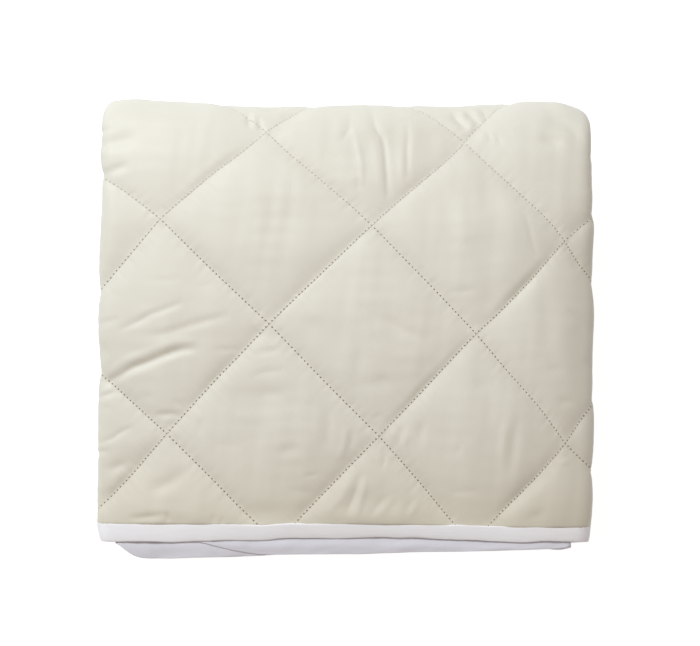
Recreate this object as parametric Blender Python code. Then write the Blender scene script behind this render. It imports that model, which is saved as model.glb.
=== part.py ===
"""A quilted wool mattress protector for a single bed, folded into a flat bundle.

The flat panel lies in the coordinates (a, s): a runs across it from its middle, and s along it from
its front seam. Both long sides are folded under the middle, which makes a strip two layers thick,
and the strip is folded back and forth along its length. place() carries any point of the flat
panel, at a height h over its middle surface, to where it lies in the bundle. The quilt and its
binding are flat patterns that place() folds, and the skirt is a thin sheet tucked in at each end.
Metres, +Z up, with the origin on the floor under the middle of the bundle.
"""

import math

import bmesh
import bpy
import numpy as np

# The finished panel, over its binding, as it lies flat
PANEL_WIDTH = 0.90
PANEL_LENGTH = 1.90
BINDING_WIDTH = 0.015
BINDING_THICKNESS = 0.008

# The folded layers
LAYER = 0.010  # the quilt, pressed flat inside the bundle
POCKET = 0.007  # room between the two layers of a strip, where the skirt is tucked in
STRIP_GAP = 0.001  # between one strip and the next
FLAP_GAP = 0.006  # between the bindings of the two side flaps, down the middle of a strip
SEAM_GAP = 0.0003  # between one piece and the next

# Where the strip turns back, as the place of each fold's centre behind the front seam
FOLDS = (
    # end, distance
    ("back", 0.3615),
    ("front", 0.0280),
    ("back", 0.3580),
    ("front", 0.0260),
)

# How far each side fold stands out, at places along the strip
SIDE_REACH = (
    # s, left, right
    (0.000, 0.0005, 0.0000),
    (0.060, 0.0005, -0.0010),
    (0.120, -0.0010, 0.0005),
    (0.190, 0.0018, 0.0010),
    (0.270, 0.0000, 0.0000),
    (0.340, -0.0030, -0.0030),
    (0.560, -0.0060, -0.0010),
    (0.930, -0.0010, -0.0070),
    (1.300, -0.0080, -0.0030),
    (1.700, 0.0010, -0.0040),
    (1.870, -0.0020, -0.0010),
)

# How far the back folds stand out, at places across the bundle
BACK_REACH = (
    # x, reach
    (-0.227, -0.002),
    (-0.190, 0.002),
    (-0.130, 0.000),
    (-0.070, -0.002),
    (0.060, -0.001),
    (0.110, -0.001),
    (0.170, 0.002),
    (0.227, -0.002),
)

# The quilting: square diamonds that stand on their points
DIAMOND = 0.195  # point to point
CROSSING = (0.0265, 0.0825)  # where two stitch lines cross, as (a, s)
STITCH_HEIGHT = 0.002  # of the outer face over the middle surface, along a stitch line
CROWN_HEIGHT = 0.009  # in the middle of a diamond on the top of the bundle
CROWN_RUN = 0.016  # how far from a stitch line the wool takes to swell
CROWN_TURN = 0.8  # how much of the way round a fold the swollen face reaches
SEAM_HEIGHT = 0.0025  # at the binding
SEAM_RUN = 0.030  # how far from the binding the quilt takes to reach its thickness

# How the cloth of the top strip is eased in, away from the even grid of the quilting
EASE_RIGHT = 0.020  # towards the right edge
EASE_RIGHT_RUN = 0.2215  # from the middle to there
EASE_SKEW = 0.052  # forward on the right and back on the left, for each metre from the middle
EASE_SKEW_RUN = 0.200
EASE_BACK = 0.016  # forward at the back fold
EASE_BACK_START = 0.270
EASE_BACK_END = 0.375

# The bundle's soft outline: each strip sinks towards its edges by this share of its height
SINK_LEFT = 0.08
SINK_RIGHT = 0.16
SINK_BACK = 0.13
SINK_FRONT = 0.07
HIGHEST = 0.150  # how far behind the front seam the bundle is highest
CORNER = 0.020  # how far the corners of the folds are drawn in
CORNER_RUN = 0.035
SOFT_RUN = 0.100  # how far from an end the outline starts to change

# The skirt: a thin sheet, folded back and forth inside the end of a strip
SKIRT_THICKNESS = 0.001
SKIRT_PITCH = 0.0014  # from one run of the skirt to the next
SKIRT_DEPTH = 0.300  # from its seam to its hem
SKIRT_START = 0.019  # how far behind the binding's outer edge its seam lies
FRONT_SKIRT = (
    # x, upper fold, lower fold: how far each stands out past the binding
    (-0.206, -0.004, -0.002),
    (-0.196, -0.004, 0.005),
    (-0.183, -0.004, 0.012),
    (-0.160, -0.004, 0.013),
    (-0.130, 0.000, 0.012),
    (-0.100, 0.006, 0.011),
    (-0.070, 0.010, 0.010),
    (0.000, 0.010, 0.008),
    (0.080, 0.007, 0.005),
    (0.150, 0.004, 0.002),
    (0.190, 0.003, 0.000),
    (0.206, 0.001, -0.002),
)
BACK_SKIRT = (
    # x, upper fold, lower fold
    (-0.200, 0.000, 0.002),
    (-0.150, 0.001, 0.003),
    (-0.100, 0.003, 0.002),
    (-0.050, 0.004, 0.001),
    (0.000, 0.003, 0.002),
    (0.050, 0.002, 0.004),
    (0.100, 0.002, 0.005),
    (0.150, 0.001, 0.003),
    (0.200, 0.001, 0.002),
)

FRONT_SEAM = -0.1814  # the front seam's place along Y, which puts the bundle over its origin

# How finely the meshes are divided
CROWN_STEPS = 5  # cells from a diamond's middle to its point
SIDE_STEPS = 4  # round a side fold
TURN_STEPS = 5  # round an end fold
STRIP_STEPS = 4  # along a straight run of the strip
BAND_SIDES = 8  # round the binding
SKIRT_STEPS = 2  # between two rows of a skirt's table
SKIRT_RUN_STEPS = 3  # along a run of a skirt
SKIRT_TURN_STEPS = 2  # round a fold of a skirt
EASE_ROUNDS = 12  # of working back from the eased cloth to the even grid

# Sizes that follow from those
SIDE_RADIUS = (LAYER + POCKET) / 2  # of the middle surface, round a side fold
STRIP = 2 * LAYER + POCKET
PITCH = STRIP + STRIP_GAP
TURN_RADIUS = PITCH / 2  # of a strip's middle plane, round an end fold
QUILT_LENGTH = PANEL_LENGTH - 2 * BINDING_WIDTH
QUILT_HALF = PANEL_WIDTH / 2 - BINDING_WIDTH
FLAP_END = BINDING_WIDTH + FLAP_GAP / 2  # where a flap's quilt ends, from the middle line
SIDE_ARC = math.pi * SIDE_RADIUS
MIDDLE_HALF = (QUILT_HALF - SIDE_ARC + FLAP_END) / 2  # the flat part between the side folds
BUNDLE_HALF = MIDDLE_HALF + SIDE_RADIUS + LAYER / 2
TURN_ARC = math.pi * TURN_RADIUS
TURN_OUTSIDE = TURN_RADIUS + STRIP / 2
TOP_PLANE = STRIP / 2 + len(FOLDS) * PITCH  # the middle plane of the top strip
BUNDLE_DEPTH = FOLDS[0][1] + TURN_OUTSIDE


def smooth(low, high, value):
    """0 below low and 1 above high, with an even ease between."""
    t = np.clip((np.asarray(value, float) - low) / (high - low), 0, 1)
    return t * t * (3 - 2 * t)


def from_table(rows, column, at):
    """A table's column at those places. Straight lines join its rows, and a moving average over
    about a sixteenth of its length rounds them off."""
    table = np.array(rows)
    reach = 12
    fine = np.linspace(table[0, 0], table[-1, 0], 32 * reach + 1)
    plain = np.interp(fine, table[:, 0], table[:, column])
    window = np.hanning(2 * reach + 1)
    padded = np.pad(plain, reach, mode="edge")
    return np.interp(at, fine, np.convolve(padded, window / window.sum(), "valid"))


def strip_spans():
    """(kind, start, length, fold) of each straight run and each end fold, along the strip."""
    spans = []
    s = y = 0.0
    for number, (end, turn) in enumerate(FOLDS):
        spans.append(("run", s, abs(turn - y), number))
        s += abs(turn - y)
        spans.append((end, s, TURN_ARC, number))
        s += TURN_ARC
        y = turn
    spans.append(("run", s, QUILT_LENGTH - s, len(FOLDS)))
    return spans


SPANS = strip_spans()


def across(a, h):
    """(x, w) over a strip's middle plane of a point a across the panel and h over its middle
    surface: the flat middle, the side fold round which the cloth turns under, and the flap."""
    side = np.where(a < 0, -1.0, 1.0)
    past = np.abs(a) - MIDDLE_HALF
    turn = np.clip(past / SIDE_RADIUS, 0, math.pi)
    reach = MIDDLE_HALF + np.minimum(past, 0) - np.maximum(past - SIDE_ARC, 0)
    x = reach + (SIDE_RADIUS + h) * np.sin(turn)
    return side * x, (SIDE_RADIUS + h) * np.cos(turn)


def along(s, w):
    """(y, z) of a point s along the strip and w over its middle plane."""
    y = np.zeros_like(s)
    z = np.zeros_like(s)
    for kind, start, length, number in SPANS:
        first = start if start > 0 else -1.0
        last = start + length if number < len(FOLDS) or kind != "run" else PANEL_LENGTH
        here = (s >= first) & (s <= last)
        part = s[here] - start
        height = TOP_PLANE - number * PITCH
        if kind == "run":
            begin = FOLDS[number - 1][1] if number else 0.0
            heading = 1.0 if number % 2 == 0 else -1.0
            y[here] = begin + heading * part
            z[here] = height + heading * w[here]
            continue
        # At a back fold the strip's upper side is the outside, and at a front fold the inside
        outward = 1.0 if kind == "back" else -1.0
        angle = part / TURN_RADIUS
        radius = TURN_RADIUS + outward * w[here]
        y[here] = FOLDS[number][1] + outward * radius * np.sin(angle)
        z[here] = height - TURN_RADIUS + radius * np.cos(angle)
    return y, z


def settle(x, y, z, s):
    """The soft and uneven outline of the whole bundle, from the even one."""
    share = np.abs(x) / BUNDLE_HALF
    reach = np.where(x < 0, from_table(SIDE_REACH, 1, s), from_table(SIDE_REACH, 2, s))
    x = x + np.sign(x) * reach * share
    near_side = smooth(BUNDLE_HALF - CORNER_RUN, BUNDLE_HALF, np.abs(x))
    near_back = smooth(BUNDLE_DEPTH - SOFT_RUN, BUNDLE_DEPTH, y)
    near_front = 1 - smooth(0, SOFT_RUN, y)
    # The corners of the folds are drawn in, but not those of the strip's two open ends
    first_fold = smooth(FOLDS[0][1], FOLDS[0][1] + SOFT_RUN, s)
    open_end = smooth(QUILT_LENGTH - 1.5 * SOFT_RUN, QUILT_LENGTH - 0.5 * SOFT_RUN, s)
    drawn = near_back * (1 - open_end) - near_front * first_fold
    out = from_table(BACK_REACH, 1, x) * near_back
    sideways = np.where(x < 0, SINK_LEFT, SINK_RIGHT) * share**3
    behind = np.clip((y - HIGHEST) / (BUNDLE_DEPTH - HIGHEST), 0, 1)
    before = np.maximum((HIGHEST - y) / HIGHEST, 0)
    z = z * (1 - sideways) * (1 - SINK_BACK * behind**3 - SINK_FRONT * before**3)
    y = y + out - CORNER * near_side * drawn
    return np.stack([x, y + FRONT_SEAM, z], axis=-1)


def place(a, s, h):
    """Where a point of the flat panel lies in the bundle."""
    a, s, h = np.broadcast_arrays(np.asarray(a, float), np.asarray(s, float), h)
    x, w = across(a, h)
    y, z = along(s, w)
    return settle(x, y, z, s)


def eased(u, v):
    """(a, s) on the panel of a point (u, v) on the quilting's even grid."""
    a = u - EASE_RIGHT * np.clip(u / EASE_RIGHT_RUN, 0, 1) ** 3
    lean = EASE_SKEW * np.clip(a, -MIDDLE_HALF, MIDDLE_HALF) * np.clip(v / EASE_SKEW_RUN, 0, 1)
    return a, v - lean - EASE_BACK * smooth(EASE_BACK_START, EASE_BACK_END, v)


def swell(u, v):
    """0 on a stitch line and near 1 in the middle of a diamond, as the wool fills it: each of the
    two sets of lines gives 1 - exp(-distance / run), and the two are multiplied."""
    du, dv = u - CROSSING[0], v - CROSSING[1]
    risen = 1.0
    for line in (du + dv, du - dv):
        part = line / DIAMOND
        off = np.abs(part - np.round(part)) * DIAMOND / math.sqrt(2)
        risen = risen * (1 - np.exp(-off / CROWN_RUN))
    return risen


def outer_height(a, s, u, v):
    """The quilted face over the middle surface: pressed flat, but swollen on top of the bundle."""
    free = 1 - smooth(MIDDLE_HALF, MIDDLE_HALF + CROWN_TURN * SIDE_ARC, np.abs(a))
    free = free * (1 - smooth(FOLDS[0][1], FOLDS[0][1] + CROWN_TURN * TURN_ARC, s))
    open_face = STITCH_HEIGHT + (CROWN_HEIGHT - STITCH_HEIGHT) * swell(u, v)
    height = free * open_face + (1 - free) * LAYER / 2
    return SEAM_HEIGHT + (height - SEAM_HEIGHT) * edge_share(a, s)


def inner_height(a, s):
    """The plain face under the middle surface."""
    return -(SEAM_HEIGHT + (LAYER / 2 - SEAM_HEIGHT) * edge_share(a, s))


def edge_share(a, s):
    """How much of its thickness the quilt has: none at the binding, all of it further in."""
    from_edge = np.minimum(QUILT_HALF - np.abs(a), np.minimum(s, QUILT_LENGTH - s))
    part = 1 - np.clip(from_edge / SEAM_RUN, 0, 1)
    return np.sqrt(np.maximum(1 - part * part, 0))


def quilt_lines():
    """The mesh lines of the flat quilt, as the grids (a, s, u, v). On the top strip they are lines
    of the quilting's own grid, so that each stitch line runs from corner to corner of the cells."""
    cell = DIAMOND / 2 / CROWN_STEPS
    count = round(BUNDLE_DEPTH / cell)
    lattice = np.arange(-count, count + 1) * cell
    u_main = lattice + CROSSING[0]
    a_main = eased(u_main, 0.0)[0]
    keep = np.abs(a_main) < MIDDLE_HALF - cell / 3
    arc = MIDDLE_HALF + SIDE_ARC * np.arange(SIDE_STEPS + 1) / SIDE_STEPS
    # A flap has lines under every second line of the middle, so that its cells bend alike
    under = a_main[keep & (a_main > FLAP_END + cell)][-2::-2]
    flap = MIDDLE_HALF + SIDE_ARC + MIDDLE_HALF - under
    edge = np.concatenate([arc, flap, [QUILT_HALF]])
    a = np.concatenate([-edge[::-1], a_main[keep], edge])
    on_right = edge + EASE_RIGHT
    u = np.concatenate([-edge[::-1], u_main[keep], on_right])

    v_top = lattice + CROSSING[1]
    furthest = eased(u[:, None], v_top[None, :])[1]
    inside = furthest.min(axis=0) > cell / 3
    inside &= furthest.max(axis=0) < FOLDS[0][1] - cell / 3
    rows = [0.0]
    for kind, start, length, number in SPANS:
        steps = STRIP_STEPS if kind == "run" else TURN_STEPS
        if number > 0 or kind != "run":
            rows.extend(start + length * np.arange(1, steps + 1) / steps)
        else:
            rows.append(start + length)
    rows = np.array(rows)
    plain_s = np.broadcast_to(rows, (len(a), len(rows)))
    # The even grid's v on the plain rows, from their s, by putting the easing back
    plain_v = plain_s.copy()
    for _ in range(EASE_ROUNDS):
        plain_v = plain_s + (plain_v - eased(u[:, None], plain_v)[1])
    top_v = np.broadcast_to(v_top[inside], (len(a), inside.sum()))
    top_s = eased(u[:, None], top_v)[1]
    s = np.concatenate([plain_s[:, :1], top_s, plain_s[:, 1:]], axis=1)
    v = np.concatenate([plain_v[:, :1], top_v, plain_v[:, 1:]], axis=1)
    grid = np.ones_like(s)
    return a[:, None] * grid, s, u[:, None] * grid, v


def slab(name, face, back, heights, material):
    """A closed solid between two grids of points: a grid primitive, extruded to the second face.
    Cells of the first face are split along their lower diagonal, so a stitch line is an edge."""
    columns, rows = face.shape[:2]
    mesh = bpy.data.meshes.new(name)
    shape = bmesh.new()
    bmesh.ops.create_grid(shape, x_segments=columns - 1, y_segments=rows - 1, size=0.5)
    column = shape.verts.layers.int.new("column")
    row = shape.verts.layers.int.new("row")
    for vert in shape.verts:
        vert[column] = round((vert.co.x + 0.5) * (columns - 1))
        vert[row] = round((vert.co.y + 0.5) * (rows - 1))
    front = list(shape.faces)
    made = bmesh.ops.extrude_face_region(shape, geom=front, use_keep_orig=True)
    behind = {item for item in made["geom"] if isinstance(item, bmesh.types.BMVert)}
    for vert in shape.verts:
        grid = back if vert in behind else face
        vert.co = grid[vert[column], vert[row]]
    for quad in front:
        low = [heights[vert[column], vert[row]] for vert in quad.verts]
        first = 0 if low[0] + low[2] <= low[1] + low[3] else 1
        bmesh.utils.face_split(quad, quad.verts[first], quad.verts[first + 2])
    return finish(name, mesh, shape, material)


def finish(name, mesh, shape, material):
    """A smooth-shaded object of that shape, its faces outwards, in the protector's collection."""
    bmesh.ops.recalc_face_normals(shape, faces=list(shape.faces))
    if shape.calc_volume(signed=True) < 0:
        bmesh.ops.reverse_faces(shape, faces=list(shape.faces))
    shape.to_mesh(mesh)
    shape.free()
    mesh.shade_smooth()
    mesh.materials.append(material)
    made = bpy.data.objects.new(name, mesh)
    bpy.data.collections["mattress_protector"].objects.link(made)
    return made


def make_quilt(material):
    a, s, u, v = quilt_lines()
    outer = outer_height(a, s, u, v)
    return slab("quilt", place(a, s, outer), place(a, s, inner_height(a, s)), outer, material)


def binding_edge():
    """The panel's edge as (a, s) points in a loop, with the way out from each: square on along the
    sides, and slanting at the four corners."""
    a, s, _, _ = quilt_lines()
    widths = a[:, 0]
    lengths = s[0]
    loop = []
    for at in widths[1:-1]:
        loop.append((at, 0.0, 0.0, -1.0))
    loop.append((QUILT_HALF, 0.0, 1.0, -1.0))
    for at in lengths[1:-1]:
        loop.append((QUILT_HALF, at, 1.0, 0.0))
    loop.append((QUILT_HALF, QUILT_LENGTH, 1.0, 1.0))
    for at in widths[-2:0:-1]:
        loop.append((at, QUILT_LENGTH, 0.0, 1.0))
    loop.append((-QUILT_HALF, QUILT_LENGTH, -1.0, 1.0))
    for at in lengths[-2:0:-1]:
        loop.append((-QUILT_HALF, at, -1.0, 0.0))
    loop.append((-QUILT_HALF, 0.0, -1.0, -1.0))
    return np.array(loop)


def squared(value):
    """A sine or cosine made squarer, which turns a circle into a box with rounded corners: the
    square root with the value's sign, so that the middle of the first side comes to 1."""
    first = math.cos(math.pi / BAND_SIDES)
    return np.sign(value) * np.sqrt(np.abs(value) / first)


def make_binding(material):
    """A band sewn round the whole edge: a ring primitive whose rounds take the band's flat oval
    section. It lies past the quilt's edge, so its inner side faces the edge across the seam."""
    edge = binding_edge()
    bpy.ops.mesh.primitive_torus_add(
        major_segments=len(edge), minor_segments=BAND_SIDES, major_radius=1.0, minor_radius=0.1
    )
    ring = bpy.context.active_object
    angle = (np.arange(BAND_SIDES) + 0.5) * 2 * math.pi / BAND_SIDES
    half = (BINDING_WIDTH - SEAM_GAP) / 2
    out = SEAM_GAP + half * (1 + squared(np.cos(angle)))
    height = BINDING_THICKNESS / 2 * squared(np.sin(angle))
    a = edge[:, 0, None] + edge[:, 2, None] * out
    s = edge[:, 1, None] + edge[:, 3, None] * out
    points = place(a, s, np.broadcast_to(height, a.shape)).reshape(-1, 3)
    for vert, point in zip(ring.data.vertices, points):
        vert.co = point
    mesh = ring.data
    bpy.data.objects.remove(ring)
    shape = bmesh.new()
    shape.from_mesh(mesh)
    return finish("binding", mesh, shape, material)


def skirt_section(upper, lower):
    """The skirt's section down the middle of its thickness, as (out, w) points: out past the
    binding's outer edge, and w over the strip's middle plane. It starts under the quilt's edge, where
    it is sewn on. Its four runs lie one under the other, with a fold that stands out at the front,
    one tucked in behind, and one more at the front."""
    turn = SKIRT_PITCH / 2
    behind = -(SKIRT_DEPTH - SKIRT_START - 2 * upper - 2 * lower) / 3
    under = SIDE_RADIUS + inner_height(0, SKIRT_START - BINDING_WIDTH)
    points = [(-SKIRT_START, under - SEAM_GAP - SKIRT_THICKNESS / 2)]
    level = 1.5 * SKIRT_PITCH
    for stop, way in ((upper, 1), (behind, -1), (lower, 1)):
        out, w = points[-1]
        for part in np.arange(1, SKIRT_RUN_STEPS) / SKIRT_RUN_STEPS:
            points.append((out + (stop - out) * part, w + (level - w) * part))
        for angle in np.linspace(0, math.pi, SKIRT_TURN_STEPS + 1):
            past = stop - way * turn * (1 - math.sin(angle))
            points.append((past, level - turn * (1 - math.cos(angle))))
        level -= SKIRT_PITCH
    for part in np.arange(1, SKIRT_RUN_STEPS + 1) / SKIRT_RUN_STEPS:
        points.append((lower + (behind - lower) * part, level))
    return np.array(points)


def make_skirt(name, table, at_back, material):
    """A thin sheet along an open end of the strip, folded back and forth in its pocket."""
    rows = np.array(table)
    at = np.arange(0, len(rows) - 1 + 1 / SKIRT_STEPS, 1 / SKIRT_STEPS)
    x = np.interp(at, np.arange(len(rows)), rows[:, 0])
    upper = from_table(table, 1, x)
    lower = from_table(table, 2, x)
    lines = np.array([skirt_section(*reach) for reach in zip(upper, lower)])
    step = np.gradient(lines, axis=1)
    step /= np.linalg.norm(step, axis=2, keepdims=True)
    normal = np.stack([-step[..., 1], step[..., 0]], axis=2)
    faces = []
    for side in (1, -1):
        line = lines + side * normal * SKIRT_THICKNESS / 2
        out = line[..., 0] + BINDING_WIDTH
        # Past the open end the strip runs straight on, so the skirt lies at s beyond the seam
        s = QUILT_LENGTH + out if at_back else -out
        y, z = along(s, line[..., 1])
        faces.append(settle(np.broadcast_to(x[:, None], y.shape), y, z, s))
    heights = np.zeros(faces[0].shape[:2])
    return slab(name, faces[0], faces[1], heights, material)


def cloth(name, colour, roughness):
    """A plain cloth finish."""
    material = bpy.data.materials.new(name)
    material.use_nodes = True
    shader = material.node_tree.nodes["Principled BSDF"]
    shader.inputs["Base Color"].default_value = (*colour, 1.0)
    shader.inputs["Roughness"].default_value = roughness
    shader.inputs["Metallic"].default_value = 0.0
    return material


def main():
    for item in list(bpy.data.objects):
        bpy.data.objects.remove(item)
    collection = bpy.data.collections.new("mattress_protector")
    bpy.context.scene.collection.children.link(collection)
    sateen = cloth("cream_sateen", (0.72, 0.69, 0.58), 0.55)
    tape = cloth("white_tape", (0.86, 0.85, 0.87), 0.80)
    jersey = cloth("thin_jersey", (0.84, 0.83, 0.86), 0.85)
    make_quilt(sateen)
    make_binding(tape)
    make_skirt("skirt_front", FRONT_SKIRT, False, jersey)
    make_skirt("skirt_back", BACK_SKIRT, True, jersey)


main()
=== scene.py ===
# %% [markdown]
# # A folded wool mattress protector
# The real thing is a quilted pad for a single bed: a cream cotton sateen face, a layer of wool and
# a plain back, stitched through in diamonds. White tape binds its edge, and a thin stretch skirt is
# sewn on at each end. It lies folded, as a shop keeps it, with its face outwards.
#
# Every piece below is worked out on the flat panel, as whole numpy arrays, and one set of folding
# formulas then carries it into the bundle. So the cloth is one sheet that turns round each fold.

import math

import bpy
import numpy as np
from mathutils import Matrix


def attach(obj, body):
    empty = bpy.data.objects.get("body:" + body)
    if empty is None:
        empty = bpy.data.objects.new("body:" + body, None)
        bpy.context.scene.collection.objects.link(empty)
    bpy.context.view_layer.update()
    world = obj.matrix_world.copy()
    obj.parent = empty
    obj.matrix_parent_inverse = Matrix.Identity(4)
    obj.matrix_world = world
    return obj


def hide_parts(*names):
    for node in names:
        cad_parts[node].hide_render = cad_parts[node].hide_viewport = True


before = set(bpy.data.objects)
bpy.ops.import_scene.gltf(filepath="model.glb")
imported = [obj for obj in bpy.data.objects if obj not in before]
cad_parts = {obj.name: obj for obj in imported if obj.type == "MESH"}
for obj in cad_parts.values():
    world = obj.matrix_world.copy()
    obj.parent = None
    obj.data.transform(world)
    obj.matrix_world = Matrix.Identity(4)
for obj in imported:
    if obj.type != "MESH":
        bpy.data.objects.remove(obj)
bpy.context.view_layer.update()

# %% [markdown]
# ## Camera
# The bundle is seen straight from above, so that its top cloth fills the picture. A long lens, well
# back, keeps the folds at the sides from showing more than they do on a catalogue page. The lens
# and the width that the picture covers give the camera's distance.

# %% Camera
FACE_LEVEL = 0.132  # of the top cloth above the floor
PICTURE_WIDTH = 0.6377  # of what the picture covers at that level
AIM = (0.0032, 0.0060)
LENS = 0.100
SENSOR = 0.036

camera = bpy.data.objects.new("camera", bpy.data.cameras.new("camera"))
bpy.context.collection.objects.link(camera)
camera.data.sensor_width = 1000 * SENSOR
camera.data.lens = 1000 * LENS
camera.location = (*AIM, FACE_LEVEL + PICTURE_WIDTH * LENS / SENSOR)
bpy.context.scene.camera = camera
bpy.context.scene.view_settings.view_transform = "Standard"
print("camera", round(camera.location.z, 3), "m over the floor")

# %% [markdown]
# ## Folding a flat panel
# A point of the panel is (a, s): a runs across it from its middle, and s along it from its front
# seam. h is its height over the cloth's middle surface. Three steps fold it. `across` turns both
# long sides under the middle, which makes a strip of two layers. `along` folds the strip back and
# forth on itself. `settle` gives the bundle its soft outline. Working on the flat panel keeps every
# crease, stitch and seam where a maker would measure it, with a ruler on the cloth.

# %% Sizes of the panel and its folds
PANEL_WIDTH = 0.90
PANEL_LENGTH = 1.90
BINDING_WIDTH = 0.015
BINDING_THICKNESS = 0.008
LAYER = 0.010  # the quilt where it is pressed flat
POCKET = 0.007  # room between the two layers of a strip
STRIP_GAP = 0.001
FLAP_GAP = 0.006  # between the bindings of the two flaps
SEAM_GAP = 0.00012  # between the quilt and the skirt sewn under it
FOLDS = (("back", 0.3615), ("front", 0.0280), ("back", 0.3580), ("front", 0.0260))
SIDE_REACH = (
    # s, left, right: how far each side fold stands out
    (0.000, 0.0045, 0.0015),
    (0.015, 0.0055, 0.0005),
    (0.045, 0.0010, 0.0025),
    (0.085, 0.0005, 0.0025),
    (0.110, 0.0010, 0.0040),
    (0.140, 0.0020, 0.0010),
    (0.155, 0.0005, 0.0010),
    (0.190, 0.0020, 0.0030),
    (0.225, 0.0020, 0.0025),
    (0.250, 0.0005, 0.0010),
    (0.280, -0.0015, 0.0030),
    (0.300, -0.0020, 0.0005),
    (0.320, 0.0005, -0.0015),
    (0.345, 0.0005, -0.0025),
    (0.380, -0.0005, -0.0010),
    (0.560, -0.0060, -0.0010),
    (0.930, -0.0010, -0.0070),
    (1.300, -0.0080, -0.0030),
    (1.700, 0.0010, -0.0040),
    (1.870, -0.0020, -0.0010),
)
BACK_REACH = (
    # x, reach: how far the back folds stand out
    (-0.227, 0.0055),
    (-0.206, 0.0070),
    (-0.165, 0.0030),
    (-0.120, 0.0030),
    (-0.098, -0.0005),
    (-0.065, -0.0015),
    (-0.025, 0.0005),
    (0.045, 0.0010),
    (0.075, 0.0000),
    (0.100, -0.0025),
    (0.125, 0.0000),
    (0.160, 0.0040),
    (0.198, 0.0035),
    (0.227, -0.0010),
)
SIDE_PARTS = 60  # how finely each of those tables is followed
BACK_PARTS = 24
FRONT_REACH = (
    # x, reach: how far the front edge stands out
    (-0.227, -0.0014),
    (-0.140, -0.0014),
    (-0.080, -0.0003),
    (0.000, -0.0010),
    (0.070, 0.0000),
    (0.100, 0.0012),
    (0.150, 0.0022),
    (0.227, 0.0031),
)
SINK_LEFT = 0.08  # how much of its height a strip loses towards each edge
SINK_RIGHT = (
    # y, share lost at the right edge
    (0.000, 0.13),
    (0.090, 0.15),
    (0.180, 0.19),
    (0.240, 0.16),
    (0.300, 0.08),
    (0.370, 0.02),
)
SINK_BACK = 0.180
SINK_FRONT = 0.12
SINK_CORNER = 0.3  # how much of that is left at the front left corner
SINK_CORNER_RUN = (-0.22, 0.05)  # along x, from that corner to where it is all there
HIGHEST = 0.200  # how far behind the front seam the bundle is highest
CORNER_LEFT = 0.001  # how far the corners of the folds are drawn in
CORNER_RIGHT = 0.004
CORNER_RUN = 0.035
SOFT_RUN = 0.100
FRONT_SEAM = -0.1802  # the front seam's place along Y

SIDE_RADIUS = (LAYER + POCKET) / 2
STRIP = 2 * LAYER + POCKET
PITCH = STRIP + STRIP_GAP
TURN_RADIUS = PITCH / 2
QUILT_LENGTH = PANEL_LENGTH - 2 * BINDING_WIDTH
QUILT_HALF = PANEL_WIDTH / 2 - BINDING_WIDTH
FLAP_END = BINDING_WIDTH + FLAP_GAP / 2
SIDE_ARC = math.pi * SIDE_RADIUS
MIDDLE_HALF = (QUILT_HALF - SIDE_ARC + FLAP_END) / 2
BUNDLE_HALF = MIDDLE_HALF + SIDE_RADIUS + LAYER / 2
TURN_ARC = math.pi * TURN_RADIUS
TOP_PLANE = STRIP / 2 + len(FOLDS) * PITCH
BUNDLE_DEPTH = FOLDS[0][1] + TURN_RADIUS + STRIP / 2
print(f"strip {1000 * STRIP:.0f} mm thick, {1000 * 2 * BUNDLE_HALF:.0f} mm wide")


# %% Eases and tables
def smooth(low, high, value):
    """0 below low and 1 above high, with an even ease between."""
    t = np.clip((np.asarray(value, float) - low) / (high - low), 0, 1)
    return t * t * (3 - 2 * t)


def from_table(rows, column, at, parts=16):
    """A table's column at those places. Straight lines join its rows, and a moving average over
    about one part in so many of its length rounds them off."""
    table = np.array(rows)
    reach = 12
    fine = np.linspace(table[0, 0], table[-1, 0], 2 * parts * reach + 1)
    plain = np.interp(fine, table[:, 0], table[:, column])
    window = np.hanning(2 * reach + 1)
    padded = np.pad(plain, reach, mode="edge")
    return np.interp(at, fine, np.convolve(padded, window / window.sum(), "valid"))


def strip_spans():
    """(kind, start, length, fold) of each straight run and each end fold, along the strip."""
    spans = []
    s = y = 0.0
    for number, (end, turn) in enumerate(FOLDS):
        spans.append(("run", s, abs(turn - y), number))
        s += abs(turn - y)
        spans.append((end, s, TURN_ARC, number))
        s += TURN_ARC
        y = turn
    spans.append(("run", s, QUILT_LENGTH - s, len(FOLDS)))
    return spans


SPANS = strip_spans()
for kind, start, length, _ in SPANS:
    print(f"{kind:5} from {start:.3f} m for {length:.3f} m")


# %% The three folding steps
def across(a, h):
    """(x, w) over a strip's middle plane: x runs out along the middle, round a half circle at the
    side, and back along the flap, while w goes from above the plane to below it."""
    side = np.where(a < 0, -1.0, 1.0)
    past = np.abs(a) - MIDDLE_HALF
    turn = np.clip(past / SIDE_RADIUS, 0, math.pi)
    reach = MIDDLE_HALF + np.minimum(past, 0) - np.maximum(past - SIDE_ARC, 0)
    x = reach + (SIDE_RADIUS + h) * np.sin(turn)
    return side * x, (SIDE_RADIUS + h) * np.cos(turn)


def along(s, w):
    """(y, z) of a point s along the strip and w over its middle plane: straight runs one under
    the other, joined by half circles at the back and the front."""
    y = np.zeros_like(s)
    z = np.zeros_like(s)
    for kind, start, length, number in SPANS:
        first = start if start > 0 else -1.0
        last = start + length if number < len(FOLDS) or kind != "run" else PANEL_LENGTH
        here = (s >= first) & (s <= last)
        part = s[here] - start
        height = TOP_PLANE - number * PITCH
        if kind == "run":
            begin = FOLDS[number - 1][1] if number else 0.0
            heading = 1.0 if number % 2 == 0 else -1.0
            y[here] = begin + heading * part
            z[here] = height + heading * w[here]
            continue
        outward = 1.0 if kind == "back" else -1.0
        angle = part / TURN_RADIUS
        radius = TURN_RADIUS + outward * w[here]
        y[here] = FOLDS[number][1] + outward * radius * np.sin(angle)
        z[here] = height - TURN_RADIUS + radius * np.cos(angle)
    return y, z


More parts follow.
